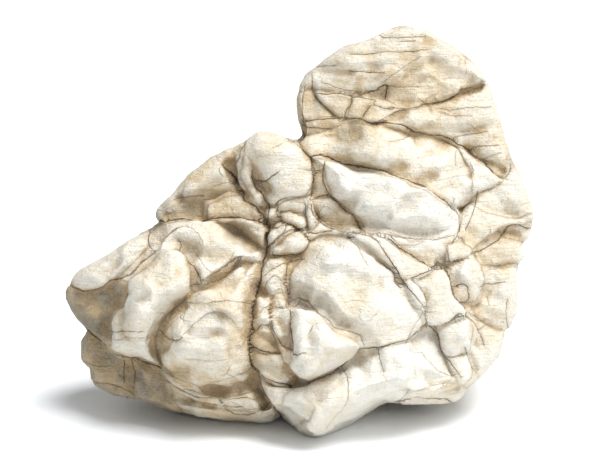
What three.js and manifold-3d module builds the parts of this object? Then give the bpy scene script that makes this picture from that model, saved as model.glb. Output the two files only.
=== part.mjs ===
// A weathered flint nodule: one solid stone of folded, rounded blocks with open joints between them.
// Millimetres, +Z up, the front towards -Y, resting on the flat spot under it at z = 0.
import * as THREE from "three";
import { mergeVertices } from "three/addons/utils/BufferGeometryUtils.js";
import Module from "manifold-3d";

// Driving dimensions.
const WIDTH = 233; // across the front, from the left finger's tip to the right flank
const EYE_DISTANCE = 1400; // the front drawing is a view from this far away
const EYE_ELEVATION = THREE.MathUtils.degToRad(15); // and from this far above level
const FLOOR_DROP = 90.6; // the floor lies this far under the drawing's centre
const ORIGIN_SHIFT = new THREE.Vector2(-3.25, -0.93); // brings the origin under the middle of the stone

// The front drawing's own units: x to the right, y down.
const DRAWING_WIDTH = 466;
const DRAWING_CENTRE = [306, 230];
const UNIT = WIDTH / DRAWING_WIDTH;

// Shape settings shared by all blocks.
const SKIRT_SLOPE = 1.6; // outside its outline a block falls away this steeply
const JOINT_FILLET = 0.6;
const BASE_REACH = 13; // the blocks sit on a smooth form that averages their heights over this distance
const OWN_STEP = 0.45; // and keep this share of their own height and lean
const FRONT_CAP = { height: 68, reach: 24 }; // rounds the front off towards the outline
const FRONT_CAP_FILLET = 6;
const BACK_CAP = { height: 66, reach: 58 };
const BACK_LEAN = [-0.2, 0.1]; // the back runs thinner to the left and to the top

// The whole outline, as the eye sees it.
const OUTLINE = [
  [160, 222], [157, 215], [159, 208], [168, 196], [180, 184], [192, 171], [203, 161], [222, 151],
  [240, 142], [249, 136], [257, 131], [270, 132], [282, 136], [292, 140], [299, 139], [302, 132],
  [299, 120], [297, 105], [298, 92], [303, 80], [313, 70], [325, 58], [342, 47], [362, 40], [382, 33],
  [398, 26], [412, 24], [430, 31], [458, 49], [476, 63], [488, 80], [494, 97], [500, 118], [506, 137],
  [511, 155], [519, 172], [527, 186], [531, 202], [533, 214], [531, 223], [531, 232], [528, 239],
  [522, 244], [523, 250], [525, 257], [519, 264], [516, 275], [518, 298], [518, 313], [512, 326],
  [506, 332], [502, 346], [496, 361], [487, 373], [477, 382], [468, 389], [461, 398], [448, 403],
  [425, 406], [402, 406], [388, 404], [370, 411], [350, 424], [334, 435], [316, 441], [302, 437],
  [290, 427], [281, 417], [273, 422], [258, 425], [235, 423], [208, 419], [182, 415], [160, 409],
  [140, 401], [118, 397], [104, 389], [93, 378], [90, 368], [82, 361], [80, 350], [80, 339], [85, 331],
  [77, 321], [70, 308], [66, 295], [71, 283], [82, 269], [102, 256], [124, 243], [145, 233],
];

// Every block: its name, how far its face stands forward, how that face leans to the right and
// upwards, how wide its rounded edge is and how deep that edge falls, how much the face is crowned,
// and its outline in the drawing.
const BLOCKS = [
  ["head", 24, [0, -0.1], 9, 2.5, 3, [[298, 92], [303, 80], [313, 70], [325, 58], [342, 47], [362, 40],
    [382, 33], [398, 26], [412, 24], [430, 31], [458, 49], [476, 63], [488, 80], [476, 86], [463, 92],
    [445, 101], [420, 106], [400, 104], [386, 97], [370, 96], [350, 93], [330, 92], [312, 90]]],
  ["head_slab", 23, [-0.2, -0.02], 9, 4, 3, [[380, 121], [400, 112], [420, 106], [445, 101], [463, 92],
    [476, 86], [488, 80], [494, 97], [500, 118], [506, 137], [511, 155], [515, 168], [504, 178],
    [490, 168], [460, 150], [430, 140], [400, 134], [385, 128]]],
  ["head_facet_left", 21, [0.15, 0], 5, 2.5, 1, [[298, 92], [312, 89], [314, 97], [323, 105],
    [334, 115], [343, 124], [325, 131], [300, 132], [297, 112]]],
  ["head_facet_kite", 24, [0.03, 0.05], 4, 2, 0.5, [[314, 92], [330, 93], [351, 95], [349, 107],
    [343, 120], [333, 113], [322, 103]]],
  ["head_facet_inner", 25, [0, 0.05], 4, 2, 0.5, [[353, 95], [372, 97], [366, 108], [360, 121],
    [345, 121], [349, 108]]],
  ["head_facet_right", 26, [0, 0], 4, 2, 0.5, [[373, 97], [386, 97], [402, 104], [420, 106], [400, 112],
    [380, 122], [361, 122], [367, 108]]],
  ["shoulder", 38, [-0.04, -0.2], 13, 7, 3, [[303, 138], [318, 133], [331, 128], [345, 122], [362, 121],
    [385, 125], [400, 127], [413, 132], [430, 134], [445, 138], [456, 147], [464, 158], [471, 170],
    [478, 182], [475, 192], [462, 200], [446, 204], [430, 196], [405, 184], [380, 176], [350, 170],
    [330, 162], [312, 160], [303, 150]]],
  ["shoulder_spur", 25, [-0.35, 0.05], 7, 4, 2, [[456, 147], [470, 152], [485, 162], [499, 170],
    [504, 178], [499, 185], [486, 190], [474, 195], [466, 190], [470, 176], [463, 160]]],
  ["white_block", 48, [-0.04, -0.1], 13, 7, 3, [[312, 156], [325, 154], [340, 158], [352, 164],
    [380, 170], [405, 179], [424, 184], [433, 193], [443, 205], [453, 218], [459, 229], [450, 235],
    [435, 238], [418, 239], [400, 236], [383, 232], [367, 227], [352, 214], [340, 204], [331, 197],
    [325, 188], [323, 176], [318, 166]]],
  ["white_block_under", 39, [-0.1, 0.25], 3, 1.5, 1, [[363, 226], [385, 231], [402, 235], [420, 238],
    [440, 235], [458, 232], [460, 240], [448, 246], [446, 256], [438, 265], [424, 262], [408, 254],
    [392, 243], [376, 235]]],
  ["dome", 57, [-0.1, -0.15], 16, 9, 4, [[306, 246], [318, 236], [335, 233], [352, 237], [366, 246],
    [380, 261], [393, 272], [403, 284], [415, 300], [424, 312], [427, 325], [412, 336], [395, 344],
    [378, 350], [362, 355], [340, 340], [325, 325], [312, 312], [298, 303], [290, 294], [288, 280],
    [292, 266]]],
  ["diagonal_band", 47, [-0.15, -0.1], 3, 1.5, 1, [[340, 230], [362, 230], [380, 236], [400, 249],
    [420, 261], [437, 267], [430, 275], [414, 279], [403, 281], [391, 266], [378, 254], [362, 243]]],
  ["right_wedge", 47, [-0.1, 0], 3, 1.5, 1, [[403, 279], [414, 278], [422, 286], [426, 297], [428, 312],
    [428, 325], [420, 312], [410, 297]]],
  ["mid_right_block", 44, [-0.2, 0], 5, 2.5, 2, [[428, 275], [438, 266], [447, 267], [453, 279],
    [456, 292], [463, 304], [467, 315], [454, 320], [441, 326], [428, 327], [428, 310], [425, 293],
    [416, 283]]],
  ["mid_right_chip", 38, [-0.25, 0], 3, 1.5, 1, [[446, 246], [452, 241], [461, 240], [472, 250],
    [464, 259], [452, 263], [445, 261]]],
  ["mid_right_panel", 36, [-0.3, 0], 4, 2, 2, [[449, 266], [460, 261], [471, 253], [481, 262],
    [488, 276], [483, 287], [478, 300], [468, 303], [458, 300], [455, 285]]],
  ["mid_right_lower", 37, [-0.25, 0.05], 4, 2, 2, [[438, 328], [453, 321], [466, 316], [473, 327],
    [474, 342], [470, 352], [455, 355], [445, 352], [440, 342]]],
  ["low_right_block", 33, [-0.3, 0.1], 4, 2, 2, [[444, 354], [456, 356], [468, 353], [473, 366],
    [470, 380], [464, 390], [456, 382], [450, 370]]],
  ["nose", 70, [-0.05, -0.4], 13, 10, 3, [[288, 299], [297, 298], [308, 301], [318, 307], [328, 317],
    [339, 328], [352, 331], [362, 339], [366, 349], [352, 358], [334, 367], [318, 376], [304, 382],
    [296, 377], [290, 364], [287, 348], [287, 330], [288, 312]]],
  ["chin", 56, [-0.1, 0], 14, 9, 3, [[300, 384], [320, 378], [342, 368], [362, 355], [378, 348],
    [396, 345], [412, 340], [427, 328], [438, 341], [444, 355], [453, 371], [459, 382], [440, 386],
    [415, 394], [404, 402], [392, 414], [372, 421], [352, 434], [336, 445], [316, 452], [300, 450],
    [284, 436], [286, 404]]],
  ["chin_ball", 62, [0.02, 0], 10, 6, 4, [[281, 392], [300, 384], [320, 379], [341, 370], [349, 380],
    [350, 392], [344, 408], [338, 424], [330, 442], [316, 448], [300, 444], [284, 434], [276, 420],
    [276, 403]]],
  ["toe", 24, [-0.08, 0], 7, 5, 2, [[386, 405], [400, 396], [420, 389], [445, 382], [461, 382],
    [468, 389], [461, 398], [448, 403], [425, 406], [402, 406]]],
  ["pebble", 41, [0.1, 0], 4, 2.5, 2, [[268, 225], [279, 220], [288, 223], [296, 229], [288, 236],
    [278, 244], [269, 250], [264, 240]]],
  ["petal", 44, [0.08, 0], 4, 2.5, 2, [[269, 250], [280, 242], [290, 235], [299, 232], [307, 238],
    [310, 246], [304, 255], [290, 257], [272, 257]]],
  ["folded_column", 45, [0.15, 0], 4, 2.5, 2, [[264, 262], [272, 257], [288, 257], [304, 255],
    [296, 266], [290, 280], [288, 296], [272, 296], [260, 293], [259, 276]]],
  ["column_left", 48, [0.12, 0], 3.5, 2, 1.5, [[258, 294], [270, 296], [272, 310], [270, 326],
    [275, 342], [277, 353], [264, 355], [252, 350], [251, 330], [254, 308]]],
  ["column_right", 52, [0.12, 0], 3.5, 2, 1.5, [[272, 301], [279, 295], [288, 299], [290, 315],
    [290, 340], [290, 362], [284, 362], [277, 346], [270, 326]]],
  ["column_foot", 48, [0.1, 0], 4, 2.5, 2, [[252, 350], [265, 354], [279, 354], [286, 366], [294, 380],
    [284, 388], [268, 384], [258, 376], [252, 362]]],
  ["column_toe", 47, [0.15, 0.1], 4, 2.5, 2, [[257, 375], [268, 383], [284, 388], [300, 384],
    [290, 400], [285, 416], [274, 406], [263, 394]]],
  ["left_finger", 29, [0.25, -0.4], 12, 8, 3, [[166, 224], [145, 233], [124, 243], [102, 256],
    [82, 269], [71, 283], [76, 290], [90, 292], [104, 288], [114, 282], [124, 280], [134, 276],
    [150, 266], [168, 250], [180, 235]]],
  ["left_finger_under", 20, [0.22, 0.25], 10, 7, 2, [[70, 283], [78, 290], [92, 291], [108, 286],
    [121, 279], [128, 290], [124, 310], [120, 330], [118, 345], [104, 347], [94, 341], [85, 331],
    [77, 321], [70, 308], [66, 295]]],
  ["middle_finger", 56, [0.05, -0.1], 15, 12, 3, [[152, 250], [166, 240], [182, 236], [194, 248],
    [196, 264], [194, 284], [184, 300], [172, 311], [163, 322], [158, 336], [157, 352], [160, 370],
    [142, 362], [124, 356], [110, 347], [105, 336], [104, 324], [108, 312], [114, 300], [118, 290],
    [126, 278], [138, 266]]],
  ["right_finger", 60, [0.08, -0.05], 17, 13, 2, [[262, 258], [250, 259], [240, 262], [230, 271],
    [214, 283], [198, 293], [180, 304], [167, 315], [159, 327], [155, 341], [156, 356], [161, 369],
    [176, 380], [198, 389], [220, 395], [240, 393], [251, 389], [254, 376], [250, 356], [251, 332],
    [254, 306], [258, 282]]],
  ["finger_sheet", 40, [0.1, -0.2], 9, 5, 3, [[148, 234], [162, 224], [182, 220], [204, 219],
    [222, 224], [234, 234], [246, 242], [264, 250], [262, 264], [240, 266], [214, 284], [198, 292],
    [190, 280], [178, 262], [160, 258], [150, 250]]],
  ["sheet_hem", 33, [0.08, -0.08], 3, 1.5, 1, [[208, 219], [224, 217], [242, 217], [256, 219],
    [266, 225], [265, 238], [264, 249], [254, 240], [240, 226], [224, 222]]],
  ["under_lobe_left", 14, [0.15, 0.2], 9, 7, 2, [[80, 339], [87, 330], [98, 338], [112, 346],
    [128, 354], [134, 366], [135, 388], [140, 401], [118, 397], [104, 389], [93, 378], [90, 368],
    [82, 361], [80, 350]]],
  ["under_lobe_middle", 27, [0.12, 0.2], 8, 6, 2, [[132, 360], [148, 362], [162, 368], [170, 386],
    [176, 404], [184, 416], [160, 409], [142, 402], [134, 388]]],
  ["under_slab_upper", 42, [0.04, 0.25], 4, 2.5, 1.5, [[162, 369], [178, 378], [200, 388], [222, 393],
    [252, 388], [260, 400], [262, 411], [250, 417], [230, 414], [210, 407], [190, 400], [172, 392]]],
  ["under_slab_lower", 35, [0.02, 0.2], 5, 2.5, 1.5, [[168, 392], [190, 402], [212, 410], [232, 415],
    [252, 416], [266, 408], [280, 416], [273, 422], [258, 425], [235, 423], [208, 419], [182, 415]]],
  ["knuckle_left", 21, [0.2, -0.15], 12, 7, 3, [[160, 222], [157, 215], [159, 208], [168, 196],
    [180, 184], [192, 171], [203, 161], [222, 151], [240, 142], [246, 156], [240, 172], [245, 192],
    [232, 198], [212, 203], [206, 218], [184, 222]]],
  ["knuckle_slab", 26, [0.06, 0.05], 4, 2, 2, [[203, 203], [216, 197], [232, 192], [245, 192],
    [256, 201], [264, 212], [266, 224], [250, 220], [228, 218], [205, 219]]],
  ["knuckle_round", 37, [0.02, -0.08], 12, 6, 3, [[242, 154], [249, 137], [257, 131], [270, 132],
    [283, 136], [294, 142], [304, 151], [313, 162], [315, 178], [312, 192], [302, 198], [288, 200],
    [274, 206], [266, 202], [264, 190], [254, 180], [250, 166]]],
  ["knuckle_inner", 35, [0.05, -0.05], 6, 4, 2, [[238, 156], [248, 152], [254, 166], [256, 182],
    [265, 192], [266, 206], [258, 208], [247, 194], [238, 176]]],
  ["knot_panel", 31, [0, 0.05], 3, 1.5, 1, [[275, 207], [284, 201], [303, 197], [311, 200], [306, 214],
    [292, 212], [279, 213]]],
  ["knot_chip", 34, [0, 0.05], 3, 1.5, 1, [[279, 212], [291, 211], [304, 215], [307, 226], [301, 231],
    [290, 225], [280, 219]]],
  ["knot_bead", 33, [0, 0], 3, 2, 1, [[265, 209], [276, 208], [280, 216], [272, 222], [266, 220]]],
  ["knot_strip", 32, [0, 0], 2, 1.5, 0.5, [[306, 199], [313, 198], [315, 212], [318, 222], [309, 231],
    [305, 216]]],
  ["knot_hollow", 33, [0.08, 0], 4, 2, 1, [[312, 199], [330, 196], [344, 206], [356, 219], [364, 229],
    [345, 227], [328, 222], [317, 213]]],
  ["knot_sill", 39, [0.08, 0], 3, 1.5, 1, [[300, 229], [309, 232], [318, 222], [330, 223], [346, 228],
    [362, 231], [345, 236], [325, 236], [310, 241]]],
  ["gap_column", 29, [0.1, 0], 3, 1.5, 1, [[312, 160], [322, 160], [327, 178], [332, 196], [314, 199],
    [312, 185]]],
  ["flank_upper", 16, [-0.3, 0], 6, 2.5, 2, [[504, 176], [511, 155], [519, 172], [527, 186], [531, 202],
    [533, 214], [515, 217], [498, 215], [484, 213], [474, 207], [476, 194], [490, 190], [500, 185]]],
  ["flank_band", 23, [-0.32, 0], 4, 2, 1.5, [[474, 206], [490, 213], [512, 216], [533, 213], [530, 221],
    [520, 227], [500, 230], [486, 238], [472, 251], [460, 239], [459, 228], [467, 216]]],
  ["flank_nub", 7, [-0.2, 0], 4, 2, 1, [[500, 229], [518, 227], [530, 222], [531, 232], [529, 240],
    [516, 242], [502, 240]]],
  ["flank_middle", 18, [-0.35, 0], 5, 2, 1.5, [[472, 251], [486, 239], [502, 232], [520, 241],
    [523, 250], [525, 257], [519, 263], [500, 266], [484, 265]]],
  ["flank_lower", 18, [-0.35, 0.03], 6, 3, 2, [[482, 264], [498, 265], [516, 263], [516, 275],
    [518, 298], [518, 313], [512, 326], [504, 332], [488, 326], [474, 318], [466, 306], [479, 300],
    [488, 282]]],
  ["flank_heel", 19, [-0.3, 0.08], 7, 3, 2, [[466, 315], [476, 316], [490, 326], [506, 332], [502, 346],
    [496, 361], [487, 373], [477, 382], [468, 389], [462, 384], [472, 372], [470, 352], [474, 336]]],
];

// Broad folds and hollows in the faces: width, depth (negative is a ridge), and the line they follow.
const FOLDS = [
  [5, 4, [[228, 166], [234, 176], [241, 187], [246, 194]]],
  [6, 3, [[252, 172], [258, 182], [265, 192], [266, 206]]],
  [8, 4, [[326, 148], [338, 141], [354, 138]]],
  [7, 3, [[345, 158], [372, 168], [405, 174], [430, 176]]],
  [5, -2, [[456, 148], [468, 166], [477, 184]]],
  [5, 3, [[373, 348], [378, 356], [382, 372]]],
  [5, 3, [[312, 322], [310, 340], [307, 362]]],
  [6, 4, [[192, 264], [196, 276], [198, 290]]],
  [6, 3, [[176, 242], [200, 256], [226, 256]]],
  [9, 1.5, [[324, 84], [344, 92], [362, 93], [380, 90]]],
  [6, 3, [[322, 302], [330, 312], [340, 324]]],
  [7, 2, [[346, 324], [354, 304], [378, 284]]],
];

// The sides and the back break into blocks round these many centres, spread over an ellipsoid
// inside the stone.
const CELLS = 36;
const CELL_RADII = [104, 88, 66];
const CELL_CENTRE = [8, -2, -8];
const CELL_JITTER = 0.25;
const CELL_STEP = 4.5; // how far one block stands over the next
const CELL_GROOVE = 2;
const CELL_GROOVE_WIDTH = 9;
const CELL_CROWN = 2.5;
const CELL_BEND = 7; // bends the joints between the blocks
const CELL_FLATTEN = 1.3; // the blocks are longer than they are high
const CELLS_START = 3; // the blocks begin this far behind the drawing plane
const CELLS_FULL = 16;

// The surface mesh.
const GRID_STEP = 0.7;
const GRID_MARGIN = 30;
const SMOOTH_ROUNDS = 1;
const BACK_SMOOTH_ROUNDS = 160;
const BACK_SMOOTH_START = 3;
const BACK_SMOOTH_FULL = 20;
const MESH_DETAIL = 34;
const MESH_MIDDLE = [375, 225]; // in the drawing; the whole outline can be seen from here
// Inner corners of the outline.
const NOTCHES = [[299, 139], [160, 222], [522, 244], [85, 331], [281, 417]];
const RELAX_ROUNDS = 14;
const RELAX_PULL = 4; // how strongly vertices gather at creases
const RIM_CLEARANCE = 0.4; // sliding vertices stay this far inside the outline

const smoothstep = (low, high, v) => THREE.MathUtils.smoothstep(v, low, high);
const clamp = THREE.MathUtils.clamp;

// The height of a quarter ellipse at distance d from its rim.
function capHeight(d, { height, reach }) {
  const u = 1 - clamp(d / reach, 0, 1);
  return height * Math.sqrt(1 - u * u);
}

// The larger of two values, with a fillet of radius k between them.
function blend(a, b, k) {
  const h = Math.max(k - Math.abs(a - b), 0) / k;
  return Math.max(a, b) + (h * h * k) / 4;
}

// A smooth curve through drawing points, as millimetres right and up from the drawing's centre.
function trace(points, closed) {
  const places = points.map(
    ([x, y]) => new THREE.Vector3((x - DRAWING_CENTRE[0]) * UNIT, (DRAWING_CENTRE[1] - y) * UNIT, 0),
  );
  const curve = new THREE.CatmullRomCurve3(places, closed, "centripetal");
  const line = curve.getPoints(points.length * 3).map((p) => [p.x, p.y]);
  const box = new THREE.Box2().setFromPoints(line.map(([s, t]) => new THREE.Vector2(s, t)));
  return { curve, line, box };
}

// The distance from a point to a traced line, and whether the line goes round the point.
function distanceTo(line, s, t) {
  let nearest = Infinity;
  let inside = false;
  for (let i = 1; i < line.length; i++) {
    const [ax, ay] = line[i - 1];
    const [bx, by] = line[i];
    const dx = bx - ax;
    const dy = by - ay;
    const along = clamp(((s - ax) * dx + (t - ay) * dy) / (dx * dx + dy * dy || 1), 0, 1);
    nearest = Math.min(nearest, (s - ax - along * dx) ** 2 + (t - ay - along * dy) ** 2);
    if (ay > t !== by > t && s < ax + (dx * (t - ay)) / dy) inside = !inside;
  }
  return { d: Math.sqrt(nearest), inside };
}

function insideDistance(line, s, t) {
  const { d, inside } = distanceTo(line, s, t);
  return inside ? d : -d;
}

const onDrawing = ([x, y]) =>
  new THREE.Vector2((x - DRAWING_CENTRE[0]) * UNIT, (DRAWING_CENTRE[1] - y) * UNIT);

// An octahedron: its upper half is laid over the front, its lower half over the back and its waist
// on the outline.
const bare = new THREE.OctahedronGeometry(1, MESH_DETAIL);
bare.deleteAttribute("normal");
bare.deleteAttribute("uv");
const sphere = mergeVertices(bare, 1e-5);
const corners = Array.from({ length: sphere.attributes.position.count }, (_, i) => {
  const { x, y, z } = new THREE.Vector3().fromBufferAttribute(sphere.attributes.position, i);
  const turn = (1.5 - Math.atan2(y, x) / (2 * Math.PI)) % 1;
  return { turn, out: Math.hypot(x, y), side: Math.abs(z) < 1e-6 ? 0 : Math.sign(z) };
});

// The outline as straight runs between the waist's corners, with a corner in each notch.
const drawn = trace(OUTLINE, true);
const waist = corners.filter(({ side }) => side === 0).map(({ turn }) => turn).sort((a, b) => a - b);
const rim = waist.map((turn) => drawn.curve.getPointAt(turn)).map(({ x, y }) => new THREE.Vector2(x, y));
for (const notch of NOTCHES.map(onDrawing)) {
  const nearest = rim.reduce((best, at) => (at.distanceTo(notch) < best.distanceTo(notch) ? at : best));
  nearest.copy(notch);
}

function rimAt(turn) {
  const next = waist.findIndex((other) => other > turn);
  const high = next < 0 ? waist.length : next;
  const from = waist[high - 1];
  const to = waist[high] ?? 1;
  return rim[high - 1].clone().lerp(rim[high % rim.length], (turn - from) / (to - from));
}

const silhouette = { line: [...rim, rim[0]].map(({ x, y }) => [x, y]), box: drawn.box };

// Tables of values over the drawing, which the later steps read.
const gridBox = silhouette.box.clone().expandByScalar(GRID_MARGIN);
const gridSize = gridBox.getSize(new THREE.Vector2());
const columns = Math.ceil(gridSize.x / GRID_STEP) + 1;
const rows = Math.ceil(gridSize.y / GRID_STEP) + 1;

// Calls visit(s, t, place) for every place of the grid that lies in a box.
function overGrid(box, visit) {
  const from = (v, least) => Math.max(0, Math.floor((v - least) / GRID_STEP));
  const to = (v, least, count) => Math.min(count - 1, Math.ceil((v - least) / GRID_STEP));
  for (let row = from(box.min.y, gridBox.min.y); row <= to(box.max.y, gridBox.min.y, rows); row++) {
    const lastColumn = to(box.max.x, gridBox.min.x, columns);
    for (let column = from(box.min.x, gridBox.min.x); column <= lastColumn; column++) {
      visit(gridBox.min.x + column * GRID_STEP, gridBox.min.y + row * GRID_STEP, row * columns + column);
    }
  }
}

function readGrid(grid, s, t) {
  const x = clamp((s - gridBox.min.x) / GRID_STEP, 0, columns - 1.001);
  const y = clamp((t - gridBox.min.y) / GRID_STEP, 0, rows - 1.001);
  const place = Math.floor(y) * columns + Math.floor(x);
  const u = x % 1;
  const v = y % 1;
  const low = grid[place] * (1 - u) + grid[place + 1] * u;
  const high = grid[place + columns] * (1 - u) + grid[place + columns + 1] * u;
  return low * (1 - v) + high * v;
}

const rimGrid = new Float32Array(columns * rows);
overGrid(gridBox, (s, t, place) => {
  rimGrid[place] = insideDistance(silhouette.line, s, t);
});

const shapes = BLOCKS.map(([, front, lean, edge, depth, crown, outline]) => {
  const { line, box } = trace(outline, true);
  const middle = box.getCenter(new THREE.Vector2());
  return { front, lean, edge, depth, crown, line, box, middle, size: box.getSize(new THREE.Vector2()) };
});

// The smooth form under the blocks: their heights, averaged over a neighbourhood.
const baseGrid = new Float32Array(columns * rows);
overGrid(gridBox, (s, t, place) => {
  let sum = 0;
  let total = 0;
  for (const { front, middle, size } of shapes) {
    const away = (s - middle.x) ** 2 + (t - middle.y) ** 2;
    const weight = size.x * size.y * (Math.exp(-away / (2 * BASE_REACH ** 2)) + 1e-6);
    sum += weight * front;
    total += weight;
  }
  baseGrid[place] = sum / total;
});

// Rounds a grid off a little with each round.
function smooth(grid, rounds) {
  for (let round = 0; round < rounds; round++) {
    for (const stride of [1, columns]) {
      const before = grid.slice();
      for (let place = stride; place < before.length - stride; place++) {
        grid[place] = (before[place - stride] + 2 * before[place] + before[place + stride]) / 4;
      }
    }
  }
}

// The distance from the outline for the back, where the ridges along its middle lines are rounded off.
const backRimGrid = rimGrid.slice();
smooth(backRimGrid, BACK_SMOOTH_ROUNDS);
overGrid(gridBox, (s, t, place) => {
  const share = smoothstep(BACK_SMOOTH_START, BACK_SMOOTH_FULL, rimGrid[place]);
  backRimGrid[place] = THREE.MathUtils.lerp(rimGrid[place], backRimGrid[place], share);
});

// How far the front stands forward of the drawing plane: the foremost of all blocks, less the folds
// in them.
const frontGrid = new Float32Array(columns * rows).fill(-GRID_MARGIN);
for (const { front, lean, edge, depth, crown, line, box, middle, size } of shapes) {
  overGrid(box.clone().expandByScalar(GRID_MARGIN), (s, t, place) => {
    const d = insideDistance(line, s, t);
    const ds = s - middle.x;
    const dt = t - middle.y;
    const away = Math.min((2 * ds / size.x) ** 2 + (2 * dt / size.y) ** 2, 1.5);
    const fall = depth * (1 - clamp(d / edge, 0, 1)) ** 2 + Math.max(-d, 0) * SKIRT_SLOPE;
    const own = front + lean[0] * ds + lean[1] * dt;
    const height = THREE.MathUtils.lerp(baseGrid[place], own, OWN_STEP) - crown * away - fall;
    frontGrid[place] = blend(frontGrid[place], height, JOINT_FILLET);
  });
}
for (const [width, depth, points] of FOLDS) {
  const { line, box } = trace(points, false);
  overGrid(box.clone().expandByScalar(width), (s, t, place) => {
    const u = Math.min(distanceTo(line, s, t).d / width, 1);
    frontGrid[place] -= depth * (1 - u * u) ** 2;
  });
}

// Rounds off what is finer than the mesh, then the whole front towards the outline.
smooth(frontGrid, SMOOTH_ROUNDS);
overGrid(gridBox, (s, t, place) => {
  frontGrid[place] = -blend(-frontGrid[place], -capHeight(rimGrid[place], FRONT_CAP), FRONT_CAP_FILLET);
});

// A number from 0 to 1 that looks random but is always the same for the same n.
const scatter = (n) => {
  const v = Math.sin(n * 12.9898) * 43758.5453;
  return v - Math.floor(v);
};

// Cell centres on a Fibonacci sphere, stretched and shaken.
const cells = Array.from({ length: CELLS }, (_, i) => {
  const up = 1 - (2 * (i + 0.5)) / CELLS;
  const turn = i * Math.PI * (3 - Math.sqrt(5));
  const round = Math.sqrt(1 - up * up);
  const unit = [round * Math.cos(turn), up, round * Math.sin(turn)];
  return {
    at: unit.map((u, k) => {
      const shake = CELL_JITTER * (scatter(3 * i + k + 1) - 0.5) * 2;
      return CELL_CENTRE[k] + CELL_RADII[k] * (u + shake);
    }),
    step: -scatter(i + 200) * CELL_STEP,
  };
});

// How far the cells lower the surface at a point of the sides or the back.
function cellRelief(s, t, f) {
  const share = smoothstep(CELLS_START, CELLS_FULL, -f);
  if (share === 0) return 0;
  const bent = [
    s + CELL_BEND * Math.sin(t / 17 + 1.3),
    t + CELL_BEND * Math.sin(f / 14 + s / 23),
    f + CELL_BEND * Math.sin(s / 19 + 2.1),
  ];
  let first = { d: Infinity, step: 0 };
  let second = first;
  for (const { at, step } of cells) {
    const d = Math.hypot(bent[0] - at[0], (bent[1] - at[1]) * CELL_FLATTEN, bent[2] - at[2]);
    if (d < first.d) [first, second] = [{ d, step }, first];
    else if (d < second.d) second = { d, step };
  }
  const gap = Math.min((second.d - first.d) / CELL_GROOVE_WIDTH, 1);
  const step = THREE.MathUtils.lerp((first.step + second.step) / 2, first.step, gap);
  const crown = CELL_CROWN * (first.d / second.d) ** 2;
  return share * (step - crown - CELL_GROOVE * (1 - gap) ** 2);
}

function plainBack(s, t) {
  const lean = 1 - (BACK_LEAN[0] * s + BACK_LEAN[1] * t) / BACK_CAP.height;
  return -lean * capHeight(readGrid(backRimGrid, s, t), BACK_CAP);
}

const frontPoint = (s, t) => new THREE.Vector3(s, t, Math.max(readGrid(frontGrid, s, t), 0));

// A point of the back, pushed in by the cells at right angles to the plain back.
function backPoint(s, t) {
  const f = plainBack(s, t);
  const slope = [plainBack(s + 0.5, t) - f, plainBack(s, t + 0.5) - f];
  const outward = new THREE.Vector3(...slope, -0.5).normalize();
  return new THREE.Vector3(s, t, f).addScaledVector(outward, cellRelief(s, t, f));
}

const meshMiddle = onDrawing(MESH_MIDDLE);
const startVertices = corners.map(({ turn, out, side }) => (
  { at: meshMiddle.clone().lerp(rimAt(turn), out), side }
));
const triangles = Array.from(sphere.index.array);

const neighbours = startVertices.map(() => new Set());
for (let i = 0; i < triangles.length; i += 3) {
  const [a, b, c] = triangles.slice(i, i + 3);
  neighbours[a].add(b).add(c);
  neighbours[b].add(a).add(c);
  neighbours[c].add(a).add(b);
}

function surfacePoint({ at, side }) {
  if (side === 0) return new THREE.Vector3(at.x, at.y, 0);
  return side > 0 ? frontPoint(at.x, at.y) : backPoint(at.x, at.y);
}

// How sharply the surface bends at a vertex: 0 where it is flat.
function creaseAt(point, around) {
  const mean = new THREE.Vector3();
  let spread = 0;
  for (const other of around) {
    mean.add(other);
    spread += point.distanceTo(other);
  }
  return Math.min((mean.divideScalar(around.length).distanceTo(point) * around.length) / spread, 0.6);
}

// The vertices of triangles that have turned over in the drawing.
function turnedOver(vertices) {
  const turned = new Set();
  for (let i = 0; i < triangles.length; i += 3) {
    const three = triangles.slice(i, i + 3);
    const [a, b, c] = three.map((j) => vertices[j].at);
    const side = three.reduce((sum, j) => sum + vertices[j].side, 0);
    if (b.clone().sub(a).cross(c.clone().sub(a)) * side < 0) three.forEach((j) => turned.add(j));
  }
  return turned;
}

// Slides the vertices over the surface, to even out the triangles and to gather them at creases.
function relax(vertices) {
  const points = vertices.map(surfacePoint);
  const crease = points.map((p, i) => creaseAt(p, [...neighbours[i]].map((j) => points[j])));
  const turned = turnedOver(vertices);
  return vertices.map(({ at, side }, i) => {
    if (side === 0) return { at, side };
    const sum = new THREE.Vector2();
    let total = 0;
    for (const j of neighbours[i]) {
      const weight = turned.has(i) ? 1 : (1 + RELAX_PULL * crease[j]) * points[i].distanceTo(points[j]);
      sum.addScaledVector(vertices[j].at, weight);
      total += weight;
    }
    sum.divideScalar(total);
    if (!turned.has(i)) sum.lerp(at, 0.4);
    return { at: readGrid(rimGrid, sum.x, sum.y) > RIM_CLEARANCE ? sum : at, side };
  });
}

// From the eye's own space to the stone's: the eye looks along +Y and down.
function toWorld({ x: s, y: t, z: f }) {
  const shrink = 1 - f / EYE_DISTANCE;
  const [right, up] = [s * shrink, t * shrink];
  const sin = Math.sin(EYE_ELEVATION);
  const cos = Math.cos(EYE_ELEVATION);
  return new THREE.Vector3(
    right - ORIGIN_SHIFT.x,
    up * sin - f * cos - ORIGIN_SHIFT.y,
    up * cos + f * sin + FLOOR_DROP,
  );
}

function stoneGeometry() {
  let vertices = startVertices;
  for (let round = 0; round < RELAX_ROUNDS; round++) vertices = relax(vertices);
  const points = vertices.map(surfacePoint).map(toWorld);
  return new THREE.BufferGeometry().setFromPoints(points).setIndex(triangles);
}

const wasm = await Module();
wasm.setup();

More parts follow.
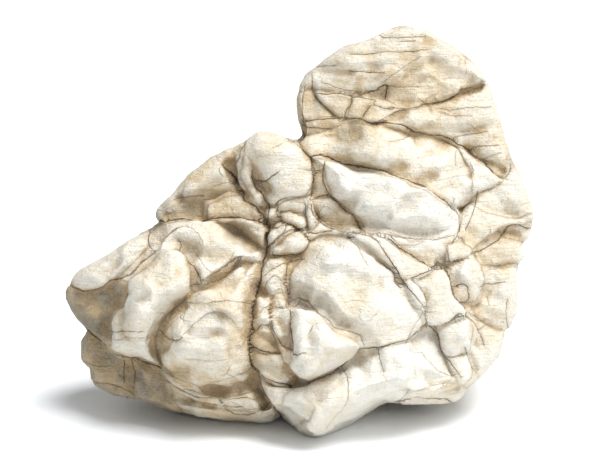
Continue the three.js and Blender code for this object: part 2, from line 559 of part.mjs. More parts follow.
function solidOf(geometry) {
  const plain = geometry.clone();
  plain.deleteAttribute("normal");
  plain.deleteAttribute("uv");
  const merged = mergeVertices(plain, 1e-4);
  return new wasm.Manifold(
    new wasm.Mesh({
      numProp: 3,
      vertProperties: new Float32Array(merged.attributes.position.array),
      triVerts: new Uint32Array(merged.index.array),
    }),
  );
}

function geometryOf(solid) {
  const mesh = solid.getMesh();
  const geometry = new THREE.BufferGeometry();
  geometry.setAttribute("position", new THREE.BufferAttribute(mesh.vertProperties, mesh.numProp));
  geometry.setIndex(new THREE.BufferAttribute(mesh.triVerts, 1));
  geometry.computeVertexNormals();
  return geometry;
}

// Everything under the floor is cut away, which leaves the flat spot that the stone rests on.
const GROUND = new THREE.BoxGeometry(600, 600, 200).translate(0, 0, -100);
const nodule = new THREE.Mesh(
  geometryOf(solidOf(stoneGeometry()).subtract(solidOf(GROUND))),
  new THREE.MeshStandardMaterial({ color: 0xe4dac4, roughness: 0.85, metalness: 0 }),
);
nodule.name = "flint_nodule";

const part = new THREE.Group();
part.add(nodule);
export default part;
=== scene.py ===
import math

import bpy
import numpy as np
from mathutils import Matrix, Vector


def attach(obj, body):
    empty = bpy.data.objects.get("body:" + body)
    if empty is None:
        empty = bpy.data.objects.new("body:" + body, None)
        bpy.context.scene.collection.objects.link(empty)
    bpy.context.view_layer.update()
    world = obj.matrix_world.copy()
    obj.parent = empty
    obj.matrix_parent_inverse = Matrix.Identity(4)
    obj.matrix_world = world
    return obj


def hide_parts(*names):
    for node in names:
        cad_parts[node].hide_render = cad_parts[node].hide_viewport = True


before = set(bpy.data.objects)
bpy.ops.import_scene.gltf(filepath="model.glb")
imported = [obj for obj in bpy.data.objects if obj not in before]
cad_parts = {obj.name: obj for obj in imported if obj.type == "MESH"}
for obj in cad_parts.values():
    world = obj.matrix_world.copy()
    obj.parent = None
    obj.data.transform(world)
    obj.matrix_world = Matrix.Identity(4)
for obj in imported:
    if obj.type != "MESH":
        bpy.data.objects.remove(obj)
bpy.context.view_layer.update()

# Driving dimensions, in millimetres. They are those of the CAD solid.
UNIT = 0.5  # one step of the front drawing
DRAWING_CENTRE = (306, 230)  # the point of the drawing that the camera looks at
EYE_DISTANCE = 1400.0
EYE_ELEVATION = math.radians(15)
FLOOR_DROP = 90.6  # how far the drawing's centre is above the floor
ORIGIN_SHIFT = (-3.25, -0.93)  # from the drawing's centre to the middle of the box, along x and y
SEED = 11

# Shape settings shared by all blocks.
SKIRT_SLOPE = 2.2  # how steeply a block falls outside its outline
CREASE_SHALLOW = 0.45  # the depth of creases, against the CAD solid, varies between these two
CREASE_DEEP = 1.45
CREASE_NOISE = (21, 4.0)  # the size and the place of the field that varies it
SHALLOW_BLOCKS = (  # blocks whose names start with these have flatter creases
    "dome", "mid_right", "right_wedge", "flank", "low_right", "diagonal", "white_block_under", "head_facet",
)
SHALLOW_SHARE = 0.55
FORM_SHARE = 1.35  # how strongly the smaller forms below are cut
JOINT_FILLET = 0.5  # how wide the rounding between two blocks is
BASE_REACH = 13.0  # how far a block pulls the base to its own height
OWN_STEP = 0.45  # how much of its own height a block keeps
FRONT_CAP = (68.0, 24.0)  # the height and the reach of the dome that rounds the front off
FRONT_CAP_FILLET = 6.0
BACK_CAP = (66.0, 58.0)  # the same for the back
BACK_LEAN = (-0.2, 0.1)
RIM_ROUNDS = 300  # how often the back's distance from the outline is smoothed
RIM_BLEND = (3, 20)  # where that smoothed distance takes over

# The blocks of the sides and the back.
CELLS = 36
CELL_RADII = (104, 88, 66)
CELL_CENTRE = (8, -2, -8)
CELL_JITTER = 0.25
CELL_STEP = 4.5
CELL_GROOVE = 2.0
CELL_GROOVE_WIDTH = 7.0
CELL_CROWN = 2.5
CELL_BEND = 7.0
CELL_FLATTEN = 1.3
CELL_WARPS = ((19, 7.0, 31.0), (7, 2.2, 47.0))  # the size, reach and place of the fields that bend the joints
CELL_OPEN = (24, 61.0)  # the size and the place of the field that opens and closes the joints
CELL_CLOSED = 5.0  # how much farther off a closed joint counts, for its colour
BACK_FOLDS = 1.2
CELLS_START = 3.0  # how far behind the outline the cells start, and where they reach their full depth
CELLS_FULL = 16.0

# Fine relief and grooves.
FACET_SOFT = 0.08  # how soft the creases between facets are
BEND_REACH = 6  # how far the fine relief is bent
RIM_CALM = 6  # the fine relief is half as deep at the outline, and whole this far from it
JOINT_GROOVE = (0.45, 0.7)  # depth and half width
CRACK_GROOVE = (0.75, 0.6)
CRACK_PENALTY = 0.25  # a weaker crack gives way to a stronger one within this distance
FAR_AWAY = 20.0  # the distance given where there is no joint or crack

# The surface mesh.
GRID_STEP = 0.5
GRID_MARGIN = 14.0
RINGS = 151
RING_CROWDING = 0.55  # how much the rings crowd towards the outline
MESH_MIDDLE = (375, 225)
RELAX_ROUNDS = 60
RELAX_SHARE = 0.6  # how far a corner moves in each round
CREST_ROUNDS = 14  # how often the surface is averaged to find small and wide hollows
HOLLOW_ROUNDS = 90

GROUPS = 4  # the blocks are put in this many groups, so that joints can be drawn as lines
BACK_TONE = -0.2

# Colours, linear.
CREAM = (0.86, 0.83, 0.745)
WARM = (0.76, 0.655, 0.475)
OCHRE = (0.56, 0.40, 0.205)
STREAK = (0.42, 0.30, 0.155)
BROWN = (0.40, 0.27, 0.13)
SHADE = (0.155, 0.127, 0.082)
CRACK = (0.085, 0.048, 0.021)
DUST = (0.86, 0.84, 0.77)
# The pale colour of the painted highlight on crests, partly worn edges.
CREST_HIGHLIGHT_AND_WEAR = (0.89, 0.87, 0.80)
STONE_ROUGHNESS = 0.82
STONE_SHINE = 0.3
BUMP_DEPTH = 0.0021  # in metres
FLOOR_COLOUR = (0.905, 0.93, 0.955, 1)
FLOOR_ROUGHNESS = 0.9
FLOOR_HALF = 6  # half the floor's width, in metres

# Light: where the two wide lights come from, how wide they look and how strong they are.
WORLD_LIGHT = 0.34
KEY_FROM = (0.3, -0.18, 0.94)
KEY_SPREAD = math.radians(34)
KEY_POWER = 3.5
FILL_FROM = (0.72, -0.7, 0.56)
FILL_SPREAD = math.radians(80)
FILL_POWER = 1.4

# The drawing. Its points are written as x, y, x, y and so on, to the right and down, in steps of UNIT.
# The whole outline, as the eye sees it.
OUTLINE = [
    160, 222, 157, 215, 159, 208, 168, 196, 180, 184, 192, 171, 203, 161, 222, 151, 240, 142, 249, 136,
    257, 131, 270, 132, 282, 136, 292, 140, 299, 139, 302, 132, 299, 120, 297, 105, 298, 92, 303, 80,
    313, 70, 325, 58, 342, 47, 362, 40, 382, 33, 398, 26, 412, 24, 430, 31, 458, 49, 476, 63, 488, 80,
    494, 97, 500, 118, 506, 137, 511, 155, 519, 172, 527, 186, 531, 202, 533, 214, 531, 223, 531, 232,
    528, 239, 522, 244, 523, 250, 525, 257, 519, 264, 516, 275, 518, 298, 518, 313, 512, 326, 506, 332,
    502, 346, 496, 361, 487, 373, 477, 382, 468, 389, 461, 398, 448, 403, 425, 406, 402, 406, 388, 404,
    370, 411, 350, 424, 334, 435, 316, 441, 302, 437, 290, 427, 281, 417, 273, 422, 258, 425, 235, 423,
    208, 419, 182, 415, 160, 409, 140, 401, 118, 397, 104, 389, 93, 378, 90, 368, 82, 361, 80, 350,
    80, 339, 85, 331, 77, 321, 70, 308, 66, 295, 71, 283, 82, 269, 102, 256, 124, 243, 145, 233,
]

# Every block: name, how far its face stands forward, how that face leans to the right and upwards, how wide
# its rounded edge is and how deep that edge falls, how much the face is crowned, and its outline.
BLOCKS = [
    ("head", 24, (0, -0.1), 9, 2.5, 3, [298, 92, 303, 80, 313, 70, 325, 58, 342, 47, 362, 40, 382, 33,
     398, 26, 412, 24, 430, 31, 458, 49, 476, 63, 488, 80, 476, 86, 463, 92, 445, 101, 420, 106, 400, 104,
     386, 97, 370, 96, 350, 93, 330, 92, 312, 90]),
    ("head_slab", 23, (-0.2, -0.02), 9, 4, 3, [380, 121, 400, 112, 420, 106, 445, 101, 463, 92, 476, 86,
     488, 80, 494, 97, 500, 118, 506, 137, 511, 155, 515, 168, 504, 178, 490, 168, 460, 150, 430, 140,
     400, 134, 385, 128]),
    ("head_facet_left", 21, (0.15, 0), 5, 2.5, 1, [298, 92, 312, 89, 314, 97, 323, 105, 334, 115,
     343, 124, 325, 131, 300, 132, 297, 112]),
    ("head_facet_kite", 24, (0.03, 0.05), 4, 2, 0.5, [314, 92, 330, 93, 351, 95, 349, 107, 343, 120,
     333, 113, 322, 103]),
    ("head_facet_inner", 25, (0, 0.05), 4, 2, 0.5, [353, 95, 372, 97, 366, 108, 360, 121, 345, 121,
     349, 108]),
    ("head_facet_right", 26, (0, 0), 4, 2, 0.5, [373, 97, 386, 97, 402, 104, 420, 106, 400, 112, 380, 122,
     361, 122, 367, 108]),
    ("shoulder", 38, (-0.04, -0.2), 13, 7, 3, [303, 138, 318, 133, 331, 128, 345, 122, 362, 121, 385, 125,
     400, 127, 413, 132, 430, 134, 445, 138, 456, 147, 464, 158, 471, 170, 478, 182, 475, 192, 462, 200,
     446, 204, 430, 196, 405, 184, 380, 176, 350, 170, 330, 162, 312, 160, 303, 150]),
    ("shoulder_spur", 25, (-0.35, 0.05), 7, 4, 2, [456, 147, 470, 152, 485, 162, 499, 170, 504, 178,
     499, 185, 486, 190, 474, 195, 466, 190, 470, 176, 463, 160]),
    ("white_block", 48, (-0.04, -0.1), 13, 7, 3, [312, 156, 325, 154, 340, 158, 352, 164, 380, 170,
     405, 179, 424, 184, 433, 193, 443, 205, 453, 218, 459, 229, 450, 235, 435, 238, 418, 239, 400, 236,
     383, 232, 367, 227, 352, 214, 340, 204, 331, 197, 325, 188, 323, 176, 318, 166]),
    ("white_block_under", 39, (-0.1, 0.25), 3, 1.5, 1, [363, 226, 385, 231, 402, 235, 420, 238, 440, 235,
     458, 232, 460, 240, 448, 246, 446, 256, 438, 265, 424, 262, 408, 254, 392, 243, 376, 235]),
    ("dome", 57, (-0.1, -0.15), 16, 9, 4, [306, 246, 318, 236, 335, 233, 352, 237, 366, 246, 380, 261,
     393, 272, 403, 284, 415, 300, 424, 312, 427, 325, 412, 336, 395, 344, 378, 350, 362, 355, 340, 340,
     325, 325, 312, 312, 298, 303, 290, 294, 288, 280, 292, 266]),
    ("diagonal_band", 47, (-0.15, -0.1), 3, 1.5, 1, [340, 230, 362, 230, 380, 236, 400, 249, 420, 261,
     437, 267, 430, 275, 414, 279, 403, 281, 391, 266, 378, 254, 362, 243]),
    ("right_wedge", 47, (-0.1, 0), 3, 1.5, 1, [403, 279, 414, 278, 422, 286, 426, 297, 428, 312, 428, 325,
     420, 312, 410, 297]),
    ("mid_right_block", 44, (-0.2, 0), 5, 2.5, 2, [428, 275, 438, 266, 447, 267, 453, 279, 456, 292,
     463, 304, 467, 315, 454, 320, 441, 326, 428, 327, 428, 310, 425, 293, 416, 283]),
    ("mid_right_chip", 38, (-0.25, 0), 3, 1.5, 1, [446, 246, 452, 241, 461, 240, 472, 250, 464, 259,
     452, 263, 445, 261]),
    ("mid_right_panel", 36, (-0.3, 0), 4, 2, 2, [449, 266, 460, 261, 471, 253, 481, 262, 488, 276,
     483, 287, 478, 300, 468, 303, 458, 300, 455, 285]),
    ("mid_right_lower", 37, (-0.25, 0.05), 4, 2, 2, [438, 328, 453, 321, 466, 316, 473, 327, 474, 342,
     470, 352, 455, 355, 445, 352, 440, 342]),
    ("low_right_block", 33, (-0.3, 0.1), 4, 2, 2, [444, 354, 456, 356, 468, 353, 473, 366, 470, 380,
     464, 390, 456, 382, 450, 370]),
    ("nose", 70, (-0.05, -0.4), 13, 10, 3, [288, 299, 297, 298, 308, 301, 318, 307, 328, 317, 339, 328,
     352, 331, 362, 339, 366, 349, 352, 358, 334, 367, 318, 376, 304, 382, 296, 377, 290, 364, 287, 348,
     287, 330, 288, 312]),
    ("chin", 56, (-0.1, 0), 14, 9, 3, [300, 384, 320, 378, 342, 368, 362, 355, 378, 348, 396, 345,
     412, 340, 427, 328, 438, 341, 444, 355, 453, 371, 459, 382, 440, 386, 415, 394, 404, 402, 392, 414,
     372, 421, 352, 434, 336, 445, 316, 452, 300, 450, 284, 436, 286, 404]),
    ("chin_ball", 62, (0.02, 0), 10, 6, 4, [281, 392, 300, 384, 320, 379, 341, 370, 349, 380, 350, 392,
     344, 408, 338, 424, 330, 442, 316, 448, 300, 444, 284, 434, 276, 420, 276, 403]),
    ("toe", 24, (-0.08, 0), 7, 5, 2, [386, 405, 400, 396, 420, 389, 445, 382, 461, 382, 468, 389,
     461, 398, 448, 403, 425, 406, 402, 406]),
    ("pebble", 41, (0.1, 0), 4, 2.5, 2, [268, 225, 279, 220, 288, 223, 296, 229, 288, 236, 278, 244,
     269, 250, 264, 240]),
    ("petal", 44, (0.08, 0), 4, 2.5, 2, [269, 250, 280, 242, 290, 235, 299, 232, 307, 238, 310, 246,
     304, 255, 290, 257, 272, 257]),
    ("folded_column", 45, (0.15, 0), 4, 2.5, 2, [264, 262, 272, 257, 288, 257, 304, 255, 296, 266,
     290, 280, 288, 296, 272, 296, 260, 293, 259, 276]),
    ("column_left", 48, (0.12, 0), 3.5, 2, 1.5, [258, 294, 270, 296, 272, 310, 270, 326, 275, 342,
     277, 353, 264, 355, 252, 350, 251, 330, 254, 308]),
    ("column_right", 52, (0.12, 0), 3.5, 2, 1.5, [272, 301, 279, 295, 288, 299, 290, 315, 290, 340,
     290, 362, 284, 362, 277, 346, 270, 326]),
    ("column_foot", 48, (0.1, 0), 4, 2.5, 2, [252, 350, 265, 354, 279, 354, 286, 366, 294, 380, 284, 388,
     268, 384, 258, 376, 252, 362]),
    ("column_toe", 47, (0.15, 0.1), 4, 2.5, 2, [257, 375, 268, 383, 284, 388, 300, 384, 290, 400,
     285, 416, 274, 406, 263, 394]),
    ("left_finger", 29, (0.25, -0.4), 12, 8, 3, [166, 224, 145, 233, 124, 243, 102, 256, 82, 269, 71, 283,
     76, 290, 90, 292, 104, 288, 114, 282, 124, 280, 134, 276, 150, 266, 168, 250, 180, 235]),
    ("left_finger_under", 20, (0.22, 0.25), 10, 7, 2, [70, 283, 78, 290, 92, 291, 108, 286, 121, 279,
     128, 290, 124, 310, 120, 330, 118, 345, 104, 347, 94, 341, 85, 331, 77, 321, 70, 308, 66, 295]),
    ("middle_finger", 56, (0.05, -0.1), 15, 12, 3, [152, 250, 166, 240, 182, 236, 194, 248, 196, 264,
     194, 284, 184, 300, 172, 311, 163, 322, 158, 336, 157, 352, 160, 370, 142, 362, 124, 356, 110, 347,
     105, 336, 104, 324, 108, 312, 114, 300, 118, 290, 126, 278, 138, 266]),
    ("right_finger", 60, (0.08, -0.05), 17, 13, 2, [262, 258, 250, 259, 240, 262, 230, 271, 214, 283,
     198, 293, 180, 304, 167, 315, 159, 327, 155, 341, 156, 356, 161, 369, 176, 380, 198, 389, 220, 395,
     240, 393, 251, 389, 254, 376, 250, 356, 251, 332, 254, 306, 258, 282]),
    ("finger_sheet", 40, (0.1, -0.2), 9, 5, 3, [148, 234, 162, 224, 182, 220, 204, 219, 222, 224,
     234, 234, 246, 242, 264, 250, 262, 264, 240, 266, 214, 284, 198, 292, 190, 280, 178, 262, 160, 258,
     150, 250]),
    ("sheet_hem", 33, (0.08, -0.08), 3, 1.5, 1, [208, 219, 224, 217, 242, 217, 256, 219, 266, 225,
     265, 238, 264, 249, 254, 240, 240, 226, 224, 222]),
    ("under_lobe_left", 14, (0.15, 0.2), 9, 7, 2, [80, 339, 87, 330, 98, 338, 112, 346, 128, 354,
     134, 366, 135, 388, 140, 401, 118, 397, 104, 389, 93, 378, 90, 368, 82, 361, 80, 350]),
    ("under_lobe_middle", 27, (0.12, 0.2), 8, 6, 2, [132, 360, 148, 362, 162, 368, 170, 386, 176, 404,
     184, 416, 160, 409, 142, 402, 134, 388]),
    ("under_slab_upper", 42, (0.04, 0.25), 4, 2.5, 1.5, [162, 369, 178, 378, 200, 388, 222, 393, 252, 388,
     260, 400, 262, 411, 250, 417, 230, 414, 210, 407, 190, 400, 172, 392]),
    ("under_slab_lower", 35, (0.02, 0.2), 5, 2.5, 1.5, [168, 392, 190, 402, 212, 410, 232, 415, 252, 416,
     266, 408, 280, 416, 273, 422, 258, 425, 235, 423, 208, 419, 182, 415]),
    ("knuckle_left", 21, (0.2, -0.15), 12, 7, 3, [160, 222, 157, 215, 159, 208, 168, 196, 180, 184,
     192, 171, 203, 161, 222, 151, 240, 142, 246, 156, 240, 172, 245, 192, 232, 198, 212, 203, 206, 218,
     184, 222]),
    ("knuckle_slab", 26, (0.06, 0.05), 4, 2, 2, [203, 203, 216, 197, 232, 192, 245, 192, 256, 201,
     264, 212, 266, 224, 250, 220, 228, 218, 205, 219]),
    ("knuckle_round", 37, (0.02, -0.08), 12, 6, 3, [242, 154, 249, 137, 257, 131, 270, 132, 283, 136,
     294, 142, 304, 151, 313, 162, 315, 178, 312, 192, 302, 198, 288, 200, 274, 206, 266, 202, 264, 190,
     254, 180, 250, 166]),
    ("knuckle_inner", 35, (0.05, -0.05), 6, 4, 2, [238, 156, 248, 152, 254, 166, 256, 182, 265, 192,
     266, 206, 258, 208, 247, 194, 238, 176]),
    ("knot_panel", 31, (0, 0.05), 3, 1.5, 1, [275, 207, 284, 201, 303, 197, 311, 200, 306, 214, 292, 212,
     279, 213]),
    ("knot_chip", 34, (0, 0.05), 3, 1.5, 1, [279, 212, 291, 211, 304, 215, 307, 226, 301, 231, 290, 225,
     280, 219]),
    ("knot_bead", 33, (0, 0), 3, 2, 1, [265, 209, 276, 208, 280, 216, 272, 222, 266, 220]),
    ("knot_strip", 32, (0, 0), 2, 1.5, 0.5, [306, 199, 313, 198, 315, 212, 318, 222, 309, 231, 305, 216]),
    ("knot_hollow", 33, (0.08, 0), 4, 2, 1, [312, 199, 330, 196, 344, 206, 356, 219, 364, 229, 345, 227,
     328, 222, 317, 213]),
    ("knot_sill", 39, (0.08, 0), 3, 1.5, 1, [300, 229, 309, 232, 318, 222, 330, 223, 346, 228, 362, 231,
     345, 236, 325, 236, 310, 241]),
    ("gap_column", 29, (0.1, 0), 3, 1.5, 1, [312, 160, 322, 160, 327, 178, 332, 196, 314, 199, 312, 185]),
    ("flank_upper", 16, (-0.3, 0), 6, 2.5, 2, [504, 176, 511, 155, 519, 172, 527, 186, 531, 202, 533, 214,
     515, 217, 498, 215, 484, 213, 474, 207, 476, 194, 490, 190, 500, 185]),
    ("flank_band", 23, (-0.32, 0), 4, 2, 1.5, [474, 206, 490, 213, 512, 216, 533, 213, 530, 221, 520, 227,
     500, 230, 486, 238, 472, 251, 460, 239, 459, 228, 467, 216]),
    ("flank_nub", 7, (-0.2, 0), 4, 2, 1, [500, 229, 518, 227, 530, 222, 531, 232, 529, 240, 516, 242,
     502, 240]),
    ("flank_middle", 18, (-0.35, 0), 5, 2, 1.5, [472, 251, 486, 239, 502, 232, 520, 241, 523, 250,
     525, 257, 519, 263, 500, 266, 484, 265]),
    ("flank_lower", 18, (-0.35, 0.03), 6, 3, 2, [482, 264, 498, 265, 516, 263, 516, 275, 518, 298,
     518, 313, 512, 326, 504, 332, 488, 326, 474, 318, 466, 306, 479, 300, 488, 282]),
    ("flank_heel", 19, (-0.3, 0.08), 7, 3, 2, [466, 315, 476, 316, 490, 326, 506, 332, 502, 346, 496, 361,
     487, 373, 477, 382, 468, 389, 462, 384, 472, 372, 470, 352, 474, 336]),
]

# Broad folds and hollows: width, depth (negative is a ridge), and the line they follow.
FOLDS = [
    (5, 2.8, [228, 166, 234, 176, 241, 187, 246, 194]),
    (6, 2.2, [252, 172, 258, 182, 265, 192, 266, 206]),
    (8, 4, [326, 148, 338, 141, 354, 138]),
    (7, 3, [345, 158, 372, 168, 405, 174, 430, 176]),
    (5, -2, [456, 148, 468, 166, 477, 184]),
    (5, 3, [373, 348, 378, 356, 382, 372]),
    (5, 3, [312, 322, 310, 340, 307, 362]),
    (5, 2.6, [192, 264, 196, 276, 198, 290]),
    (6, 3, [176, 242, 200, 256, 226, 256]),
    (9, 0.8, [324, 84, 344, 92, 362, 93, 380, 90]),
    (6, 3, [322, 302, 330, 312, 340, 324]),
    (7, 2, [346, 324, 354, 304, 378, 284]),
]

# Smaller valleys, and ridges where the depth is negative: half width, depth and the line they follow.
FORMS = [
    (4, -1.3, [152, 251, 167, 235, 182, 228, 193, 231, 202, 243]),
    (4, -1.1, [201, 283, 213, 272, 228, 261, 242, 257]),
    (4, 1.3, [202, 287, 221, 275, 236, 265]),
    (5, 1.5, [188, 329, 200, 321, 214, 317, 228, 320, 237, 327]),
    (3, -1.0, [179, 333, 193, 319, 213, 310, 229, 313, 241, 327]),
    (4, -1.0, [162, 329, 170, 334, 178, 338]),
    (5, 1.4, [120, 313, 132, 305, 143, 297]),
    (4, -0.9, [118, 301, 132, 295, 148, 287]),
    (5, -1.3, [379, 87, 402, 69, 422, 57]),
    (4, 1.0, [384, 92, 407, 75, 428, 62]),
    (4, -1.0, [314, 84, 331, 88, 350, 93]),
    (5, -1.2, [379, 163, 395, 151, 410, 140]),
    (6, 1.8, [404, 164, 425, 158, 440, 147]),
    (6, -1.2, [414, 172, 438, 163, 456, 158]),
    (5, 1.6, [345, 205, 365, 194, 384, 188]),
    (5, -1.2, [350, 214, 372, 204, 396, 194]),
    (6, 2.0, [403, 210, 417, 200, 434, 203]),
    (4, -1.2, [393, 207, 408, 190, 425, 189]),
    (5, -1.2, [330, 262, 350, 256, 372, 268]),
    (5, 1.2, [322, 276, 342, 272, 362, 280]),
    (4, -1.0, [300, 312, 302, 330, 306, 348]),
    (4, -0.9, [322, 336, 330, 348, 342, 352]),
    (6, 1.4, [344, 384, 372, 376, 392, 366]),
    (6, -1.2, [352, 398, 382, 388, 404, 376]),
    (5, -0.5, [184, 192, 196, 180, 212, 170]),
    (5, 1.3, [186, 214, 200, 196, 220, 182]),
    (4, -1.0, [84, 276, 104, 264, 126, 251, 144, 243]),
    (4, 1.2, [170, 392, 190, 399, 214, 404]),
    (4, -1.0, [214, 398, 236, 402, 256, 402]),
    (4, 1.2, [98, 360, 106, 372, 116, 384]),
    (4, 1.0, [450, 220, 468, 232, 482, 240]),
    (4, -1.0, [484, 278, 496, 288, 508, 292]),
    (4, 1.0, [472, 300, 484, 312, 500, 318]),
    (4, -1.0, [462, 336, 472, 350, 480, 364]),
    (7, 3.0, [300, 298, 318, 306, 338, 325, 362, 336]),
    (5, -1.6, [292, 308, 296, 330, 302, 352, 312, 370]),
    (5, 2.0, [276, 300, 280, 322, 286, 344]),
    (3, 0.8, [254, 330, 262, 324, 272, 328]),
    (3, 1.0, [262, 272, 276, 266, 292, 261]),
    (3, -0.9, [266, 283, 276, 277, 284, 288]),
    (3, 0.9, [288, 264, 286, 282, 290, 298]),
    (3, -0.8, [260, 300, 266, 308, 262, 318]),
    (4, 1.3, [300, 64, 322, 70, 350, 72]),
    (4, -0.9, [318, 52, 350, 62, 380, 60]),
    (5, 1.2, [430, 60, 448, 74, 470, 80]),
    (5, -1.0, [410, 118, 440, 122, 470, 120]),
    (4, 1.0, [430, 128, 462, 130, 490, 126]),
    (4, 1.0, [168, 300, 150, 318, 140, 340]),
    (5, 1.3, [92, 300, 98, 316, 108, 334]),
    (3, 1.0, [262, 352, 272, 362, 284, 368]),
    (6, 2.3, [178, 307, 167, 319, 159, 333, 156, 352]),
    (6, 2.2, [150, 254, 136, 268, 121, 281, 115, 296, 108, 314, 105, 332]),
    (7, 2.4, [166, 212, 182, 203, 198, 207]),
    (6, 0.4, [232, 148, 228, 160, 234, 172]),
    (4, 1.1, [255, 268, 266, 266, 276, 258]),
    (4, -1.1, [262, 276, 270, 284, 272, 296]),
    (3, 1.1, [256, 288, 264, 293, 262, 303]),
    (4, -1.0, [258, 318, 268, 322, 276, 334]),
    (3, 1.2, [262, 336, 272, 342, 284, 342]),
    (4, -1.0, [264, 354, 276, 360, 284, 358]),
    (4, 1.1, [262, 368, 274, 370, 286, 376]),
    (7, 1.8, [296, 296, 284, 284, 290, 268, 306, 250]),
    (5, 1.0, [306, 316, 326, 290, 350, 272]),
]

# Dark spots, mostly painted shade on faces and creases that lie in shade, partly brown staining: their middle
# in the drawing, how far they reach and how strong they are.
SHADE_AND_STAIN_SPOTS = [
    (168, 213, 12, 0.7), (185, 208, 11, 0.6), (199, 211, 9, 0.4), (348, 135, 13, 0.6), (383, 91, 8, 0.7),
    (222, 322, 12, 0.22), (236, 230, 9, 0.75), (113, 318, 10, 0.5), (88, 345, 12, 0.55),
    (106, 358, 16, 0.75), (128, 372, 14, 0.5), (160, 392, 17, 0.55), (190, 400, 14, 0.5),
    (110, 334, 11, 0.45), (77, 320, 11, 0.35), (258, 362, 12, 0.4), (342, 50, 18, 0.2),
    (378, 36, 18, 0.15), (432, 44, 14, 0.12), (247, 239, 6, 0.6), (318, 172, 7, 0.45),
    (321, 187, 7, 0.45), (316, 160, 5, 0.45), (264, 203, 6, 0.5), (260, 187, 7, 0.35),
    (238, 184, 6, 0.45), (330, 211, 11, 0.35), (346, 222, 10, 0.3),
]

